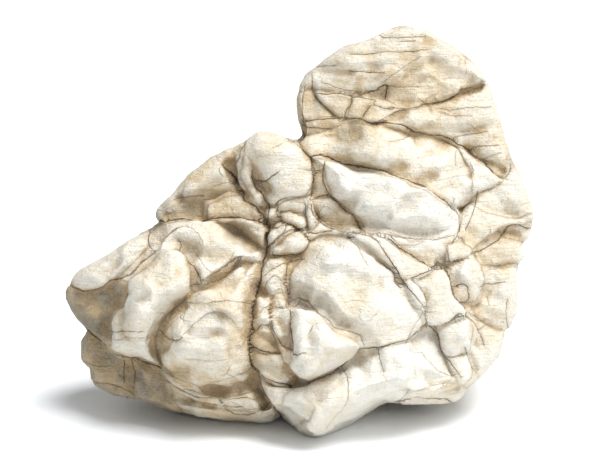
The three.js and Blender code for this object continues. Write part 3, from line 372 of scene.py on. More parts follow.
# Cracks inside the blocks: how dark, and the line they follow.
CRACKS = [
    (1.0, [267, 224, 265, 235, 266, 250, 262, 262, 259, 275, 257, 290, 254, 300, 252, 315, 252, 330,
     251, 345, 251, 358, 253, 368, 258, 382, 262, 395, 270, 405, 281, 417]),
    (1.0, [160, 221, 180, 219, 200, 219, 215, 217, 235, 216, 250, 218, 258, 219, 267, 224, 276, 226,
     290, 224, 300, 229, 316, 233, 330, 230]),
    (0.8, [70, 285, 78, 290, 90, 291, 103, 287, 110, 281, 120, 278]),
    (0.6, [150, 229, 148, 238, 149, 245, 152, 251]),
    (0.7, [122, 277, 133, 270, 142, 260, 152, 251, 160, 243, 172, 230, 178, 227]),
    (0.4, [172, 232, 180, 227, 190, 228, 198, 235, 203, 243]),
    (0.5, [178, 240, 181, 245, 179, 250]),
    (0.9, [190, 262, 195, 268, 199, 277, 201, 284]),
    (0.6, [243, 258, 235, 262, 220, 272, 205, 280, 192, 287]),
    (0.5, [240, 262, 228, 275, 205, 285]),
    (0.4, [110, 331, 126, 332, 142, 331]),
    (0.3, [112, 338, 130, 339, 150, 337]),
    (0.5, [160, 330, 165, 339, 175, 341, 182, 335]),
    (0.3, [180, 335, 195, 322, 210, 313, 222, 314, 232, 320, 240, 330]),
    (0.4, [185, 302, 205, 303, 228, 301, 250, 302]),
    (0.3, [185, 361, 205, 361, 225, 360]),
    (0.3, [210, 385, 230, 380, 250, 372]),
    (0.4, [84, 362, 95, 366, 108, 366]),
    (0.5, [95, 380, 105, 384, 120, 388, 133, 395]),
    (0.6, [124, 360, 125, 370, 124, 382]),
    (0.6, [132, 362, 133, 375, 132, 388]),
    (0.9, [86, 331, 92, 336, 100, 345, 108, 350, 120, 354, 130, 358, 140, 363, 158, 369]),
    (0.7, [165, 380, 180, 392, 200, 400, 215, 402, 222, 408]),
    (0.6, [185, 390, 206, 397, 222, 399, 240, 396, 256, 398]),
    (0.6, [190, 402, 215, 408, 222, 411, 235, 418, 250, 419, 262, 415, 270, 410]),
    (0.6, [222, 409, 235, 413, 250, 413, 262, 410, 268, 404]),
    (0.9, [223, 165, 230, 172, 235, 180, 240, 187, 243, 198, 250, 204, 258, 209, 262, 215, 266, 223]),
    (0.5, [175, 199, 187, 197, 203, 196]),
    (0.4, [203, 200, 215, 196, 230, 192, 243, 192]),
    (0.3, [215, 186, 225, 183, 235, 184]),
    (0.6, [245, 141, 240, 150, 238, 158, 234, 165]),
    (0.7, [252, 172, 253, 178, 258, 181, 263, 183, 270, 178, 278, 172]),
    (0.9, [252, 175, 256, 185, 262, 192, 265, 200, 268, 207, 267, 216, 267, 224]),
    (0.8, [298, 146, 306, 153, 311, 159, 311, 170, 313, 180, 308, 188, 300, 196, 290, 196, 280, 200,
     275, 205]),
    (0.8, [278, 206, 276, 212, 280, 218, 290, 224, 300, 230, 308, 232, 316, 233]),
    (0.6, [280, 212, 290, 211, 298, 214, 305, 217]),
    (0.7, [305, 203, 306, 217, 309, 230]),
    (0.7, [311, 205, 313, 213, 318, 220, 330, 225]),
    (0.8, [313, 165, 315, 172, 313, 182, 312, 190, 310, 200]),
    (0.5, [304, 170, 311, 171, 318, 171]),
    (0.8, [267, 225, 275, 220, 280, 220, 285, 226, 283, 234, 276, 240, 270, 245, 266, 248]),
    (0.8, [268, 247, 280, 238, 290, 230, 298, 231, 307, 238, 308, 246, 300, 254, 285, 256, 272, 255]),
    (0.6, [312, 75, 311, 85, 313, 93, 318, 100, 325, 107, 333, 115, 340, 122]),
    (0.8, [313, 93, 325, 94, 340, 93, 352, 95, 365, 92, 380, 91]),
    (0.7, [352, 95, 350, 104, 345, 112, 343, 119]),
    (0.7, [352, 95, 365, 97, 375, 99, 372, 103, 366, 110, 361, 120]),
    (0.8, [303, 121, 315, 120, 330, 119, 350, 118, 360, 119]),
    (0.6, [303, 127, 315, 128, 331, 129]),
    (0.6, [372, 103, 380, 106, 392, 109]),
    (0.8, [392, 106, 410, 107, 425, 104, 440, 102, 450, 99, 463, 90]),
    (0.4, [380, 121, 390, 117, 400, 112, 415, 109, 430, 105]),
    (0.4, [440, 108, 455, 110, 475, 108, 488, 108]),
    (0.3, [440, 112, 455, 116, 470, 117]),
    (0.4, [450, 138, 465, 135, 487, 131]),
    (0.4, [472, 150, 485, 147, 497, 145]),
    (0.4, [480, 160, 490, 156, 500, 153]),
    (0.5, [380, 36, 400, 37, 425, 36]),
    (0.5, [350, 55, 365, 54, 380, 52, 400, 52, 415, 51, 427, 50]),
    (0.5, [312, 67, 324, 66, 336, 65]),
    (0.6, [350, 71, 365, 72, 385, 73]),
    (0.4, [400, 41, 408, 41, 415, 41]),
    (0.4, [322, 82, 345, 90, 375, 91]),
    (1.0, [378, 90, 387, 86, 385, 95]),
    (0.5, [387, 86, 400, 87, 420, 87]),
    (0.3, [382, 83, 400, 70, 420, 57]),
    (0.7, [302, 138, 302, 128, 301, 112, 302, 96, 304, 86]),
    (1.0, [343, 120, 350, 119, 362, 120, 372, 124, 385, 123, 400, 125, 408, 129, 413, 132, 430, 135,
     440, 136, 450, 139, 458, 144, 468, 149, 475, 155, 485, 162, 495, 170, 502, 177]),
    (0.9, [312, 156, 320, 154, 330, 156, 342, 162, 355, 165, 370, 168, 385, 171, 400, 177, 410, 180,
     424, 183, 430, 188, 440, 198, 450, 208, 457, 217, 459, 228, 459, 235]),
    (0.4, [390, 142, 400, 139, 412, 133]),
    (0.7, [325, 160, 322, 170, 323, 182, 328, 194, 335, 200, 343, 208, 352, 218, 362, 228, 370, 232]),
    (0.7, [370, 232, 385, 234, 400, 237, 420, 238, 440, 237, 457, 234]),
    (0.6, [311, 200, 325, 195, 335, 201, 345, 210, 362, 228]),
    (0.9, [330, 225, 340, 228, 350, 230, 365, 230, 375, 235, 390, 240, 400, 247, 415, 256, 425, 262,
     435, 266, 440, 262]),
    (1.0, [350, 231, 362, 233, 373, 238, 379, 244, 391, 262, 398, 272, 402, 280, 408, 288, 418, 300,
     425, 310, 427, 326]),
    (0.7, [378, 260, 388, 268, 393, 272, 397, 282, 401, 287]),
    (0.7, [412, 280, 420, 287, 425, 295, 427, 308, 428, 320]),
    (0.5, [350, 240, 358, 247, 363, 256, 368, 265]),
    (1.0, [345, 232, 347, 237, 353, 237]),
    (0.9, [427, 327, 435, 332, 438, 340, 442, 350, 447, 358, 455, 368, 460, 376]),
    (0.8, [427, 328, 440, 326, 450, 320, 458, 313]),
    (0.9, [427, 327, 418, 330, 408, 338, 395, 343, 385, 347, 373, 348, 363, 352, 350, 360, 343, 366,
     330, 374, 315, 380, 303, 385, 290, 386]),
    (0.5, [295, 297, 308, 302, 318, 312, 328, 320, 338, 329, 350, 332, 360, 335, 363, 345]),
    (0.9, [290, 305, 290, 320, 290, 335, 291, 350]),
    (0.8, [293, 354, 297, 355]),
    (0.8, [300, 354, 305, 353]),
    (0.7, [271, 303, 271, 320, 275, 335, 282, 345, 290, 350]),
    (0.5, [271, 305, 278, 306, 285, 306]),
    (0.5, [264, 275, 274, 268, 288, 262, 302, 257]),
    (0.5, [262, 290, 268, 280, 276, 276, 284, 284, 289, 294]),
    (0.6, [288, 262, 286, 280, 290, 300]),
    (0.5, [254, 331, 262, 325, 272, 328]),
    (0.4, [258, 312, 265, 306, 271, 312]),
    (0.8, [252, 345, 258, 350, 268, 353, 278, 353]),
    (0.8, [257, 372, 262, 378, 270, 381, 282, 384, 290, 386]),
    (0.4, [343, 368, 348, 380, 348, 395, 342, 408, 333, 418, 325, 426]),
    (0.5, [378, 348, 380, 360, 384, 372]),
    (0.8, [395, 402, 410, 400, 430, 399, 451, 401]),
    (0.8, [412, 278, 437, 268, 447, 266, 455, 285, 458, 300, 467, 310, 455, 318, 440, 326]),
    (0.7, [457, 286, 467, 285, 470, 300, 465, 303, 458, 298]),
    (0.7, [453, 243, 459, 236, 470, 247, 474, 252, 462, 260, 450, 261, 447, 250]),
    (0.7, [440, 263, 462, 261, 472, 254, 485, 248, 500, 238, 514, 226, 528, 228]),
    (0.5, [474, 253, 480, 262]),
    (0.6, [477, 192, 475, 205, 470, 220, 465, 230]),
    (0.5, [482, 288, 490, 284, 503, 283]),
    (0.5, [507, 300, 506, 315, 509, 328]),
    (0.6, [458, 313, 470, 320, 478, 330, 485, 345]),
    (0.6, [465, 348, 470, 360, 474, 370]),
    (0.5, [487, 297, 489, 305]),
]

# How much whiter (positive) or browner and darker (negative) a block is than the rest: partly the stone's own
# colour, partly painted shade on blocks that face away from the light, such as the under-lobes on the lower
# left, and painted light on some blocks on the right.
BLOCK_TONE_AND_SHADE = {
    "head": -0.42, "head_slab": -0.6, "head_facet_left": -0.8, "head_facet_kite": -0.8,
    "head_facet_inner": -0.6, "head_facet_right": -0.35, "shoulder": -0.15, "shoulder_spur": -0.1,
    "white_block": 0.8, "white_block_under": 0.2, "dome": 0.35, "diagonal_band": 0.1, "right_wedge": 0.4,
    "nose": 0.3, "chin": 0.8, "chin_ball": 0.6, "toe": 0.2, "left_finger": -0.15,
    "left_finger_under": -2.1, "middle_finger": -0.15, "right_finger": -0.5, "finger_sheet": 0.12,
    "sheet_hem": -0.9, "under_lobe_left": -1.9, "under_lobe_middle": -2.1, "under_slab_upper": -0.6,
    "under_slab_lower": -0.9, "knuckle_left": -0.75, "knuckle_inner": -0.5, "knuckle_slab": -0.5,
    "knuckle_round": 0.0, "knot_hollow": -0.5, "gap_column": -0.7, "column_left": -0.6,
    "column_right": -0.3, "column_foot": -0.5, "column_toe": -0.2, "folded_column": -0.4, "pebble": -0.2,
    "petal": -0.2, "flank_upper": 0.15, "flank_band": 0.1, "flank_middle": 0.1, "flank_lower": 0.0,
    "flank_heel": 0.2, "mid_right_block": 0.2, "mid_right_panel": 0.2, "mid_right_lower": 0.3,
    "low_right_block": 0.3,
}


def smoothstep(low, high, v):
    """A smooth rise from 0 to 1 between two values."""
    u = np.clip((v - low) / (high - low), 0, 1)
    return u * u * (3 - 2 * u)


def on_drawing(numbers):
    """Points of the drawing in millimetres, to the right and up from the drawing's centre."""
    p = np.reshape(np.asarray(numbers, float), (-1, 2))
    return np.stack([(p[:, 0] - DRAWING_CENTRE[0]) * UNIT, (DRAWING_CENTRE[1] - p[:, 1]) * UNIT], 1)


def trace(numbers, closed, per=4):
    """A smooth curve through points of the drawing, with a few steps from each point to the next."""
    p = on_drawing(numbers)
    count = len(p)
    runs = []
    for i in range(count if closed else count - 1):
        b, c = p[i], p[(i + 1) % count]
        a = p[i - 1] if closed or i > 0 else 2 * b - c
        d = p[(i + 2) % count] if closed or i + 2 < count else 2 * c - b
        ab, bc, cd = (np.linalg.norm(v) ** 0.5 + 1e-6 for v in (b - a, c - b, d - c))
        leave = ((b - a) / ab - (c - a) / (ab + bc) + (c - b) / bc) * bc
        arrive = ((c - b) / bc - (d - b) / (bc + cd) + (d - c) / cd) * bc
        u = np.linspace(0, 1, per, endpoint=False)[:, None]
        runs.append((2 * u**3 - 3 * u**2 + 1) * b + (u**3 - 2 * u**2 + u) * leave
                    + (3 * u**2 - 2 * u**3) * c + (u**3 - u**2) * arrive)
    if not closed:
        runs.append(p[-1:])
    return np.concatenate(runs)


def line_distance(p, line):
    """The distance to an open line, and the same with a sign for its side."""
    best = np.full(len(p), 1e9)
    sign = np.ones(len(p))
    for a, b in zip(line[:-1], line[1:]):
        along = b - a
        rel = p - a
        u = np.clip(rel @ along / (along @ along + 1e-12), 0, 1)
        away = rel - u[:, None] * along
        d = (away**2).sum(1)
        nearer = d < best
        best = np.where(nearer, d, best)
        side = along[0] * rel[:, 1] - along[1] * rel[:, 0]
        sign = np.where(nearer, np.sign(side), sign)
    return np.sqrt(best), sign


def inside_distance(p, ring):
    """The distance to a closed line, positive inside it."""
    best = np.full(len(p), 1e9)
    inside = np.zeros(len(p), bool)
    for a, b in zip(ring, np.roll(ring, -1, 0)):
        along = b - a
        rel = p - a
        u = np.clip(rel @ along / (along @ along + 1e-12), 0, 1)
        best = np.minimum(best, ((rel - u[:, None] * along) ** 2).sum(1))
        crosses = (a[1] > p[:, 1]) != (b[1] > p[:, 1])
        rise = along[1] if abs(along[1]) > 1e-12 else 1e-12
        inside ^= crosses & (p[:, 0] < a[0] + along[0] * rel[:, 1] / rise)
    return np.where(inside, 1, -1) * np.sqrt(best)


def cap_height(d, cap):
    """The height of a rounded cap at a distance inside its edge."""
    height, reach = cap
    u = 1 - np.clip(d / reach, 0, 1)
    return height * np.sqrt(np.clip(1 - u * u, 0, 1))


def blend(a, b, k):
    """The higher of two heights, with a rounded change between them."""
    h = np.maximum(k - np.abs(a - b), 0) / k
    return np.maximum(a, b) + h * h * k / 4


# A smooth random field: a seeded table, read with smooth steps between its entries.
TABLE = np.random.default_rng(SEED).random((32, 32, 32))


def noise(p, size, shift=0.0):
    q = p / size + shift
    cell = np.floor(q).astype(int)
    u = q - cell
    u = u * u * (3 - 2 * u)
    total = 0
    for dx in (0, 1):
        for dy in (0, 1):
            for dz in (0, 1):
                weight = (u[:, 0] if dx else 1 - u[:, 0]) * (u[:, 1] if dy else 1 - u[:, 1])
                weight = weight * (u[:, 2] if dz else 1 - u[:, 2])
                i, j, k = ((cell + [dx, dy, dz]) % 32).T
                total = total + weight * TABLE[i, j, k]
    return total * 2 - 1


def ridges(p, size, shift=0.0):
    """Noise with sharp crests."""
    return 1 - 2 * np.abs(noise(p, size, shift))


def facets(p, size, tilt, step, shift):
    """Small tilted planes that meet in soft creases: how far each point stands out."""
    q = p / size + shift
    cell = np.floor(q).astype(int)
    total = np.zeros(len(p))
    weights = np.zeros(len(p)) + 1e-9
    for dx in (-1, 0, 1):
        for dy in (-1, 0, 1):
            for dz in (-1, 0, 1):
                at = cell + [dx, dy, dz]
                i, j, k = (at % 32).T
                jitter = np.stack([TABLE[i, j, k], TABLE[j, k, i], TABLE[k, i, j]], 1)
                lean = np.stack([TABLE[i, k, j], TABLE[j, i, k], TABLE[k, j, i]], 1) * 2 - 1
                away = q - at - 0.5 - 0.7 * (jitter - 0.5)
                weight = np.exp(-(away**2).sum(1) / FACET_SOFT)
                plane = tilt * size * (away * lean).sum(1) + step * (TABLE[(i + 7) % 32, j, k] * 2 - 1)
                total += weight * plane
                weights += weight
    return total / weights


# The drawing as a grid of heights.
drawn = trace(OUTLINE, True)
step_lengths = np.linalg.norm(np.roll(drawn, -1, 0) - drawn, axis=1)
arc = np.concatenate([[0], np.cumsum(step_lengths)]) / step_lengths.sum()
closed_drawn = np.vstack([drawn, drawn[:1]])
turns = np.arange(4 * RINGS) / (4 * RINGS)
rim = np.stack([np.interp(turns, arc, closed_drawn[:, k]) for k in (0, 1)], 1)

low = rim.min(0) - GRID_MARGIN
high = rim.max(0) + GRID_MARGIN
columns, rows = (int(v) for v in np.ceil((high - low) / GRID_STEP) + 1)
grid_s = low[0] + np.arange(columns) * GRID_STEP
grid_t = low[1] + np.arange(rows) * GRID_STEP
S, T = np.meshgrid(grid_s, grid_t)
P = np.stack([S.ravel(), T.ravel()], 1)


def read(grid, p):
    """The values of a grid at any points."""
    x = np.clip((p[:, 0] - low[0]) / GRID_STEP, 0, columns - 1.001)
    y = np.clip((p[:, 1] - low[1]) / GRID_STEP, 0, rows - 1.001)
    i, j = y.astype(int), x.astype(int)
    u, v = x - j, y - i
    lower = grid[i, j] * (1 - u) + grid[i, j + 1] * u
    upper = grid[i + 1, j] * (1 - u) + grid[i + 1, j + 1] * u
    return lower * (1 - v) + upper * v


def smooth(grid, rounds):
    """A grid with each value averaged with its neighbours."""
    for _ in range(rounds):
        for axis in (0, 1):
            padded = np.pad(grid, [(1, 1) if k == axis else (0, 0) for k in (0, 1)], mode="edge")
            before = padded[:-2] if axis == 0 else padded[:, :-2]
            after = padded[2:] if axis == 0 else padded[:, 2:]
            grid = (before + 2 * grid + after) / 4
    return grid


rim_grid = inside_distance(P, rim[::3]).reshape(rows, columns)
rim_smooth = smooth(rim_grid, RIM_ROUNDS)
rim_back = rim_grid + (rim_smooth - rim_grid) * smoothstep(*RIM_BLEND, rim_grid)

rings_of_blocks = [trace(block[6], True) for block in BLOCKS]
middles = [(ring.min(0) + ring.max(0)) / 2 for ring in rings_of_blocks]
sizes = [ring.max(0) - ring.min(0) for ring in rings_of_blocks]

# The base follows the heights of the blocks near each point.
total = np.zeros(len(P))
weights = np.zeros(len(P))
for block, middle, size in zip(BLOCKS, middles, sizes):
    weight = size[0] * size[1] * (np.exp(-((P - middle) ** 2).sum(1) / (2 * BASE_REACH**2)) + 1e-6)
    total += weight * block[1]
    weights += weight
base = (total / weights).reshape(rows, columns)

crease_noise = noise(np.column_stack([P, np.zeros(len(P))]), *CREASE_NOISE).reshape(rows, columns)
crease_grid = CREASE_SHALLOW + (CREASE_DEEP - CREASE_SHALLOW) * smoothstep(-0.5, 0.5, crease_noise)

# Each block is laid over the base, then the valleys are cut and the whole is rounded off.
front_grid = np.full((rows, columns), -30.0)
for block, ring, middle, size in zip(BLOCKS, rings_of_blocks, middles, sizes):
    name, front, lean, edge, depth, crown, _ = block
    near = [(ring.min(0)[k] - GRID_MARGIN, ring.max(0)[k] + GRID_MARGIN) for k in (0, 1)]
    j0, j1 = np.searchsorted(grid_s, near[0])
    i0, i1 = np.searchsorted(grid_t, near[1])
    s, t = S[i0:i1, j0:j1], T[i0:i1, j0:j1]
    d = inside_distance(np.stack([s.ravel(), t.ravel()], 1), ring).reshape(s.shape)
    crease_here = crease_grid[i0:i1, j0:j1]
    ds, dt = s - middle[0], t - middle[1]
    away = np.minimum((2 * ds / size[0]) ** 2 + (2 * dt / size[1]) ** 2, 1.5)
    if name.startswith(SHALLOW_BLOCKS):
        crease_here = crease_here * SHALLOW_SHARE
    fall = crease_here * depth * (1 - np.clip(d / edge, 0, 1)) ** 2 + np.maximum(-d, 0) * SKIRT_SLOPE
    own = front + lean[0] * ds + lean[1] * dt
    height = base[i0:i1, j0:j1] * (1 - OWN_STEP) + own * OWN_STEP - crown * away - fall
    front_grid[i0:i1, j0:j1] = blend(front_grid[i0:i1, j0:j1], height, JOINT_FILLET)
valleys = FOLDS + [(width, FORM_SHARE * depth, numbers) for width, depth, numbers in FORMS]
for width, depth, numbers in valleys:
    d, _ = line_distance(P, trace(numbers, False))
    front_grid -= (depth * (1 - np.minimum(d / width, 1) ** 2) ** 2).reshape(rows, columns)
front_grid = -blend(-front_grid, -cap_height(rim_grid, FRONT_CAP), FRONT_CAP_FILLET)
front_grid = np.maximum(front_grid, 0)

back_height = -(1 - (BACK_LEAN[0] * S + BACK_LEAN[1] * T) / BACK_CAP[0]) * cap_height(rim_back, BACK_CAP)


# The mesh: two discs of rings, laid over the front and the back and sewn along the outline.
def ring_start(r):
    return 1 + 2 * r * (r - 1)


def disc(count):
    """The triangles of a disc whose ring r has 4 r corners."""
    faces = []
    for r in range(count):
        for quarter in range(4):
            k = np.arange(r + 1)
            outer = ring_start(r + 1) + (quarter * (r + 1) + k) % (4 * (r + 1))
            outer_next = ring_start(r + 1) + (quarter * (r + 1) + k + 1) % (4 * (r + 1))
            inner = ring_start(r) + (quarter * r + k) % (4 * r) if r else np.zeros(1, int)
            faces.append(np.stack([inner, outer_next, outer], 1))
            if r:
                inner_next = ring_start(r) + (quarter * r + k + 1) % (4 * r)
                faces.append(np.stack([inner, inner_next, outer_next], 1)[:-1])
    return np.concatenate(faces)


disc_count = ring_start(RINGS + 1)
waist = np.arange(ring_start(RINGS), disc_count)
faces_front = disc(RINGS)
ring_of = np.concatenate([[0]] + [np.full(4 * r, r) for r in range(1, RINGS + 1)])
turn_of = np.concatenate([[0.0]] + [np.arange(4 * r) / (4 * r) for r in range(1, RINGS + 1)])
out = ring_of / RINGS
out = RING_CROWDING * np.sin(math.pi / 2 * out) + (1 - RING_CROWDING) * out
rim_closed = np.vstack([rim, rim[:1]])
rim_turns = np.arange(4 * RINGS + 1) / (4 * RINGS)
on_rim = np.stack([np.interp(turn_of, rim_turns, rim_closed[:, k]) for k in (0, 1)], 1)
middle_at = on_drawing(MESH_MIDDLE)[0]
flat = middle_at + (on_rim - middle_at) * out[:, None]
inner_mask = ring_of < RINGS


def edges_of(faces):
    """Every edge of a set of triangles, once."""
    pairs = np.concatenate([faces[:, [k, (k + 1) % 3]] for k in range(3)])
    return np.unique(np.sort(pairs, 1), axis=0)


edges = edges_of(faces_front)


def turned_over(at):
    """Which triangles face the wrong way in the drawing."""
    a, b, c = (at[faces_front[:, k]] for k in range(3))
    return (b[:, 0] - a[:, 0]) * (c[:, 1] - a[:, 1]) - (b[:, 1] - a[:, 1]) * (c[:, 0] - a[:, 0]) <= 1e-5


def relaxed(at, grid):
    """Evens out the triangles over one side of the stone, and lets none turn over."""
    i, j = edges.T
    for _ in range(RELAX_ROUNDS):
        f = read(grid, at)
        length = np.sqrt(((at[i] - at[j]) ** 2).sum(1) + (f[i] - f[j]) ** 2)
        total = np.bincount(i, length, disc_count) + np.bincount(j, length, disc_count)
        pulled = [np.bincount(i, length * at[j, k], disc_count)
                  + np.bincount(j, length * at[i, k], disc_count) for k in (0, 1)]
        moved = np.stack(pulled, 1) / total[:, None]
        moved = np.where(inner_mask[:, None], RELAX_SHARE * moved + (1 - RELAX_SHARE) * at, at)
        turned_before = turned_over(at)
        for _ in range(6):
            bad = turned_over(moved) & ~turned_before
            if not bad.any():
                break
            back = np.unique(faces_front[bad])
            moved[back] = at[back]
        at = moved
    return at


front_at = relaxed(flat, front_grid)
back_at = relaxed(flat, back_height)
back_inner = np.arange(ring_start(RINGS))


def scatter(n):
    """A fixed pseudo-random value from 0 to 1 for each whole number."""
    return (np.sin(n * 12.9898) * 43758.5453) % 1


def cell_relief(p):
    """How far the cells lower the surface, and how near their joints are."""
    s, t, f = p.T
    cell = np.arange(CELLS)
    up = 1 - (2 * (cell + 0.5)) / CELLS
    turn = cell * math.pi * (3 - math.sqrt(5))
    across = np.sqrt(1 - up * up)
    unit = np.stack([across * np.cos(turn), up, across * np.sin(turn)], 1)
    jitter = np.stack([scatter(3 * cell + k + 1) - 0.5 for k in range(3)], 1)
    at = np.array(CELL_CENTRE) + np.array(CELL_RADII) * (unit + CELL_JITTER * jitter * 2)
    step = -scatter(cell + 200) * CELL_STEP
    bent = np.stack([s + CELL_BEND * np.sin(t / 17 + 1.3), t + CELL_BEND * np.sin(f / 14 + s / 23),
                     f + CELL_BEND * np.sin(s / 19 + 2.1)], 1)
    for size, reach, shift in CELL_WARPS:
        bent = bent + reach * np.stack([noise(p, size, shift + 6 * k) for k in range(3)], 1)
    open_share = smoothstep(-0.5, 0.1, noise(p, *CELL_OPEN))  # the joints close up in places
    stretch = np.array([1, CELL_FLATTEN, 1])
    d = np.sqrt((((bent[:, None] - at[None]) * stretch) ** 2).sum(2))
    order = np.argsort(d, 1)[:, :2]
    first, second = (np.take_along_axis(d, order[:, k:k + 1], 1)[:, 0] for k in (0, 1))
    gap = np.minimum((second - first) / CELL_GROOVE_WIDTH, 1)
    mean = (step[order[:, 0]] + step[order[:, 1]]) / 2
    height = mean + (step[order[:, 0]] - mean) * gap
    share = smoothstep(CELLS_START, CELLS_FULL, -f)
    relief = height - CELL_CROWN * (first / second) ** 2 - CELL_GROOVE * open_share * (1 - gap) ** 2
    return share * relief, second - first + CELL_CLOSED * (1 - open_share), share


def plain_back(at):
    """The depth of the back before its cells are cut."""
    return read(back_height, at)


back_f = plain_back(back_at)
slope = np.stack([plain_back(back_at + [0.5, 0]) - back_f, plain_back(back_at + [0, 0.5]) - back_f,
                  np.full(len(back_at), -0.5)], 1)
outward = slope / np.linalg.norm(slope, axis=1, keepdims=True)
back_points = np.column_stack([back_at, back_f])
relief, gap_back, share_back = cell_relief(back_points)
back_points = back_points + outward * relief[:, None]

front_points = np.column_stack([front_at, read(front_grid, front_at)])
points = np.vstack([front_points, back_points[back_inner]])
count = len(points)
back_index = np.concatenate([disc_count + back_inner, waist])
triangles = np.vstack([faces_front, back_index[faces_front][:, [0, 2, 1]]])


def normals_of(p):
    """The outward direction at every corner."""
    a, b, c = (p[triangles[:, k]] for k in range(3))
    face = np.cross(b - a, c - a)
    total = np.stack([sum(np.bincount(triangles[:, k], face[:, axis], count) for k in range(3))
                      for axis in range(3)], 1)
    return total / (np.linalg.norm(total, axis=1, keepdims=True) + 1e-12)


all_edges = edges_of(triangles)
degree = np.bincount(all_edges.ravel(), minlength=count)


def averaged(values, rounds):
    """The values at the corners, each averaged with its neighbours."""
    i, j = all_edges.T
    values = values.copy()
    for _ in range(rounds):
        total = np.stack([np.bincount(i, values[j, k], count) + np.bincount(j, values[i, k], count)
                          for k in range(values.shape[1])], 1)
        values = 0.5 * values + 0.5 * total / degree[:, None]
    return values


back_gap = np.full(count, FAR_AWAY)
back_gap[disc_count:] = gap_back[back_inner]
back_share = np.zeros(count)
back_share[disc_count:] = share_back[back_inner]

# The fine relief, at right angles to the surface. Each part is a strength times a field of points, with the
# field's size in millimetres and its place in the table.
normals = normals_of(averaged(points, 6))
bend = np.stack([noise(points, 23, 5.0), noise(points, 23, 9.0), noise(points, 23, 13.0)], 1) * BEND_REACH
warped = (points + bend) * [1, 1.35, 1]
crests = ridges(warped, 19, 3.0)
lumps = np.abs(noise(warped + 1.5 * bend, 9, 7.0))
fine = (
    1.2 * noise(points, 28, 2.0)
    + 0.55 * crests
    + 0.2 * lumps
    + facets(points + 0.7 * bend, 19, 0.18, 0.5, 0.0)
    + facets(points * [1, 1.4, 1] + 0.3 * bend, 8.5, 0.07, 0.08, 3.0)
    + 0.14 * ridges(warped * [1, 1.5, 1], 5.5, 15.0)
    + 0.1 * noise(warped * [1, 1.8, 1], 2.6, 11.0)
    + BACK_FOLDS * back_share * (ridges(warped, 31, 27.0) + 0.4 * ridges(warped, 12, 39.0))
)
fine -= fine.mean()
near_rim = smoothstep(0, RIM_CALM, read(rim_grid, points[:, :2]))
points = points + normals * (fine * (0.5 + 0.5 * near_rim))[:, None]

# Joints and cracks, measured at every corner of the front.
inside = np.stack([inside_distance(front_at, ring) for ring in rings_of_blocks], 1)


def four_groups():
    """Puts the blocks in four groups so that blocks which touch are in different ones."""
    top_two = np.argsort(-inside, 1)[:, :2]
    touching = np.take_along_axis(inside, top_two[:, 1:], 1)[:, 0] > -4
    pairs = {tuple(sorted(pair)) for pair in top_two[touching].tolist()}
    near = {k: set() for k in range(len(BLOCKS))}
    for a, b in pairs:
        near[a].add(b)
        near[b].add(a)
    group = {}
    for k in sorted(near, key=lambda k: -len(near[k])):
        used = [group[n] for n in near[k] if n in group]
        group[k] = min(range(GROUPS), key=lambda g: (used.count(g), g))
    return np.array([group[k] for k in range(len(BLOCKS))])


groups = four_groups()
joint_side = np.full((count, GROUPS), -FAR_AWAY)
for g in range(GROUPS):
    mine, others = inside[:, groups == g].max(1), inside[:, groups != g].max(1)
    joint_side[:disc_count, g] = (mine - others) / 2

crack_side = np.full(count, FAR_AWAY)
crack_far = np.full(count, FAR_AWAY)
crack_weight = np.zeros(count)
for weight, drawn_line in CRACKS:
    line = trace(drawn_line, False, 3)
    d, side = line_distance(front_at, line)
    d = d + (1 - weight) * CRACK_PENALTY
    nearer = d < crack_far[:disc_count]
    crack_far[:disc_count][nearer] = d[nearer]
    crack_side[:disc_count][nearer] = (d * side)[nearer]
    crack_weight[:disc_count][nearer] = weight

# Joints and cracks also cut narrow grooves.
near_joint = np.abs(joint_side).min(1)
groove = JOINT_GROOVE[0] * np.exp(-((near_joint / JOINT_GROOVE[1]) ** 2))
groove += CRACK_GROOVE[0] * crack_weight * np.exp(-((crack_far / CRACK_GROOVE[1]) ** 2))
points = points - normals * groove[:, None]

# Painted shade in part: the tone of each corner, from its block's entry above.
tone = np.zeros(count)
soft = np.exp(np.clip(inside - inside.max(1, keepdims=True), -30, 0) / 0.8)
block_tone_and_shade = np.array([BLOCK_TONE_AND_SHADE.get(block[0], 0.0) for block in BLOCKS])
tone[:disc_count] = (soft * block_tone_and_shade).sum(1) / soft.sum(1)
tone[disc_count:] = BACK_TONE
tone = averaged(tone[:, None], 3)[:, 0]

# Painted shade, partly brown staining: how strongly each corner is darkened by the spots above.
stain = np.zeros(count)
for x, y, reach, share in SHADE_AND_STAIN_SPOTS:
    away = ((front_at - on_drawing((x, y))[0]) ** 2).sum(1)
    stain[:disc_count] = np.maximum(stain[:disc_count], share * np.exp(-away / (reach * UNIT) ** 2))

# Hollows and crests at two sizes: how far the surface lies under its own average.
normals = normals_of(points)
hollow_small = ((averaged(points, CREST_ROUNDS) - points) * normals).sum(1)
hollow_wide = ((averaged(points, HOLLOW_ROUNDS) - points) * normals).sum(1)


def to_world(p):
    """From the drawing's millimetres, as the eye sees them, to metres in the shared frame."""
    s, t, f = p.T
    shrink = 1 - f / EYE_DISTANCE
    up, level = math.cos(EYE_ELEVATION), math.sin(EYE_ELEVATION)
    x = s * shrink - ORIGIN_SHIFT[0]
    y = t * shrink * level - f * up - ORIGIN_SHIFT[1]
    z = t * shrink * up + f * level + FLOOR_DROP
    return np.column_stack([x, y, np.maximum(z, 0)]) / 1000


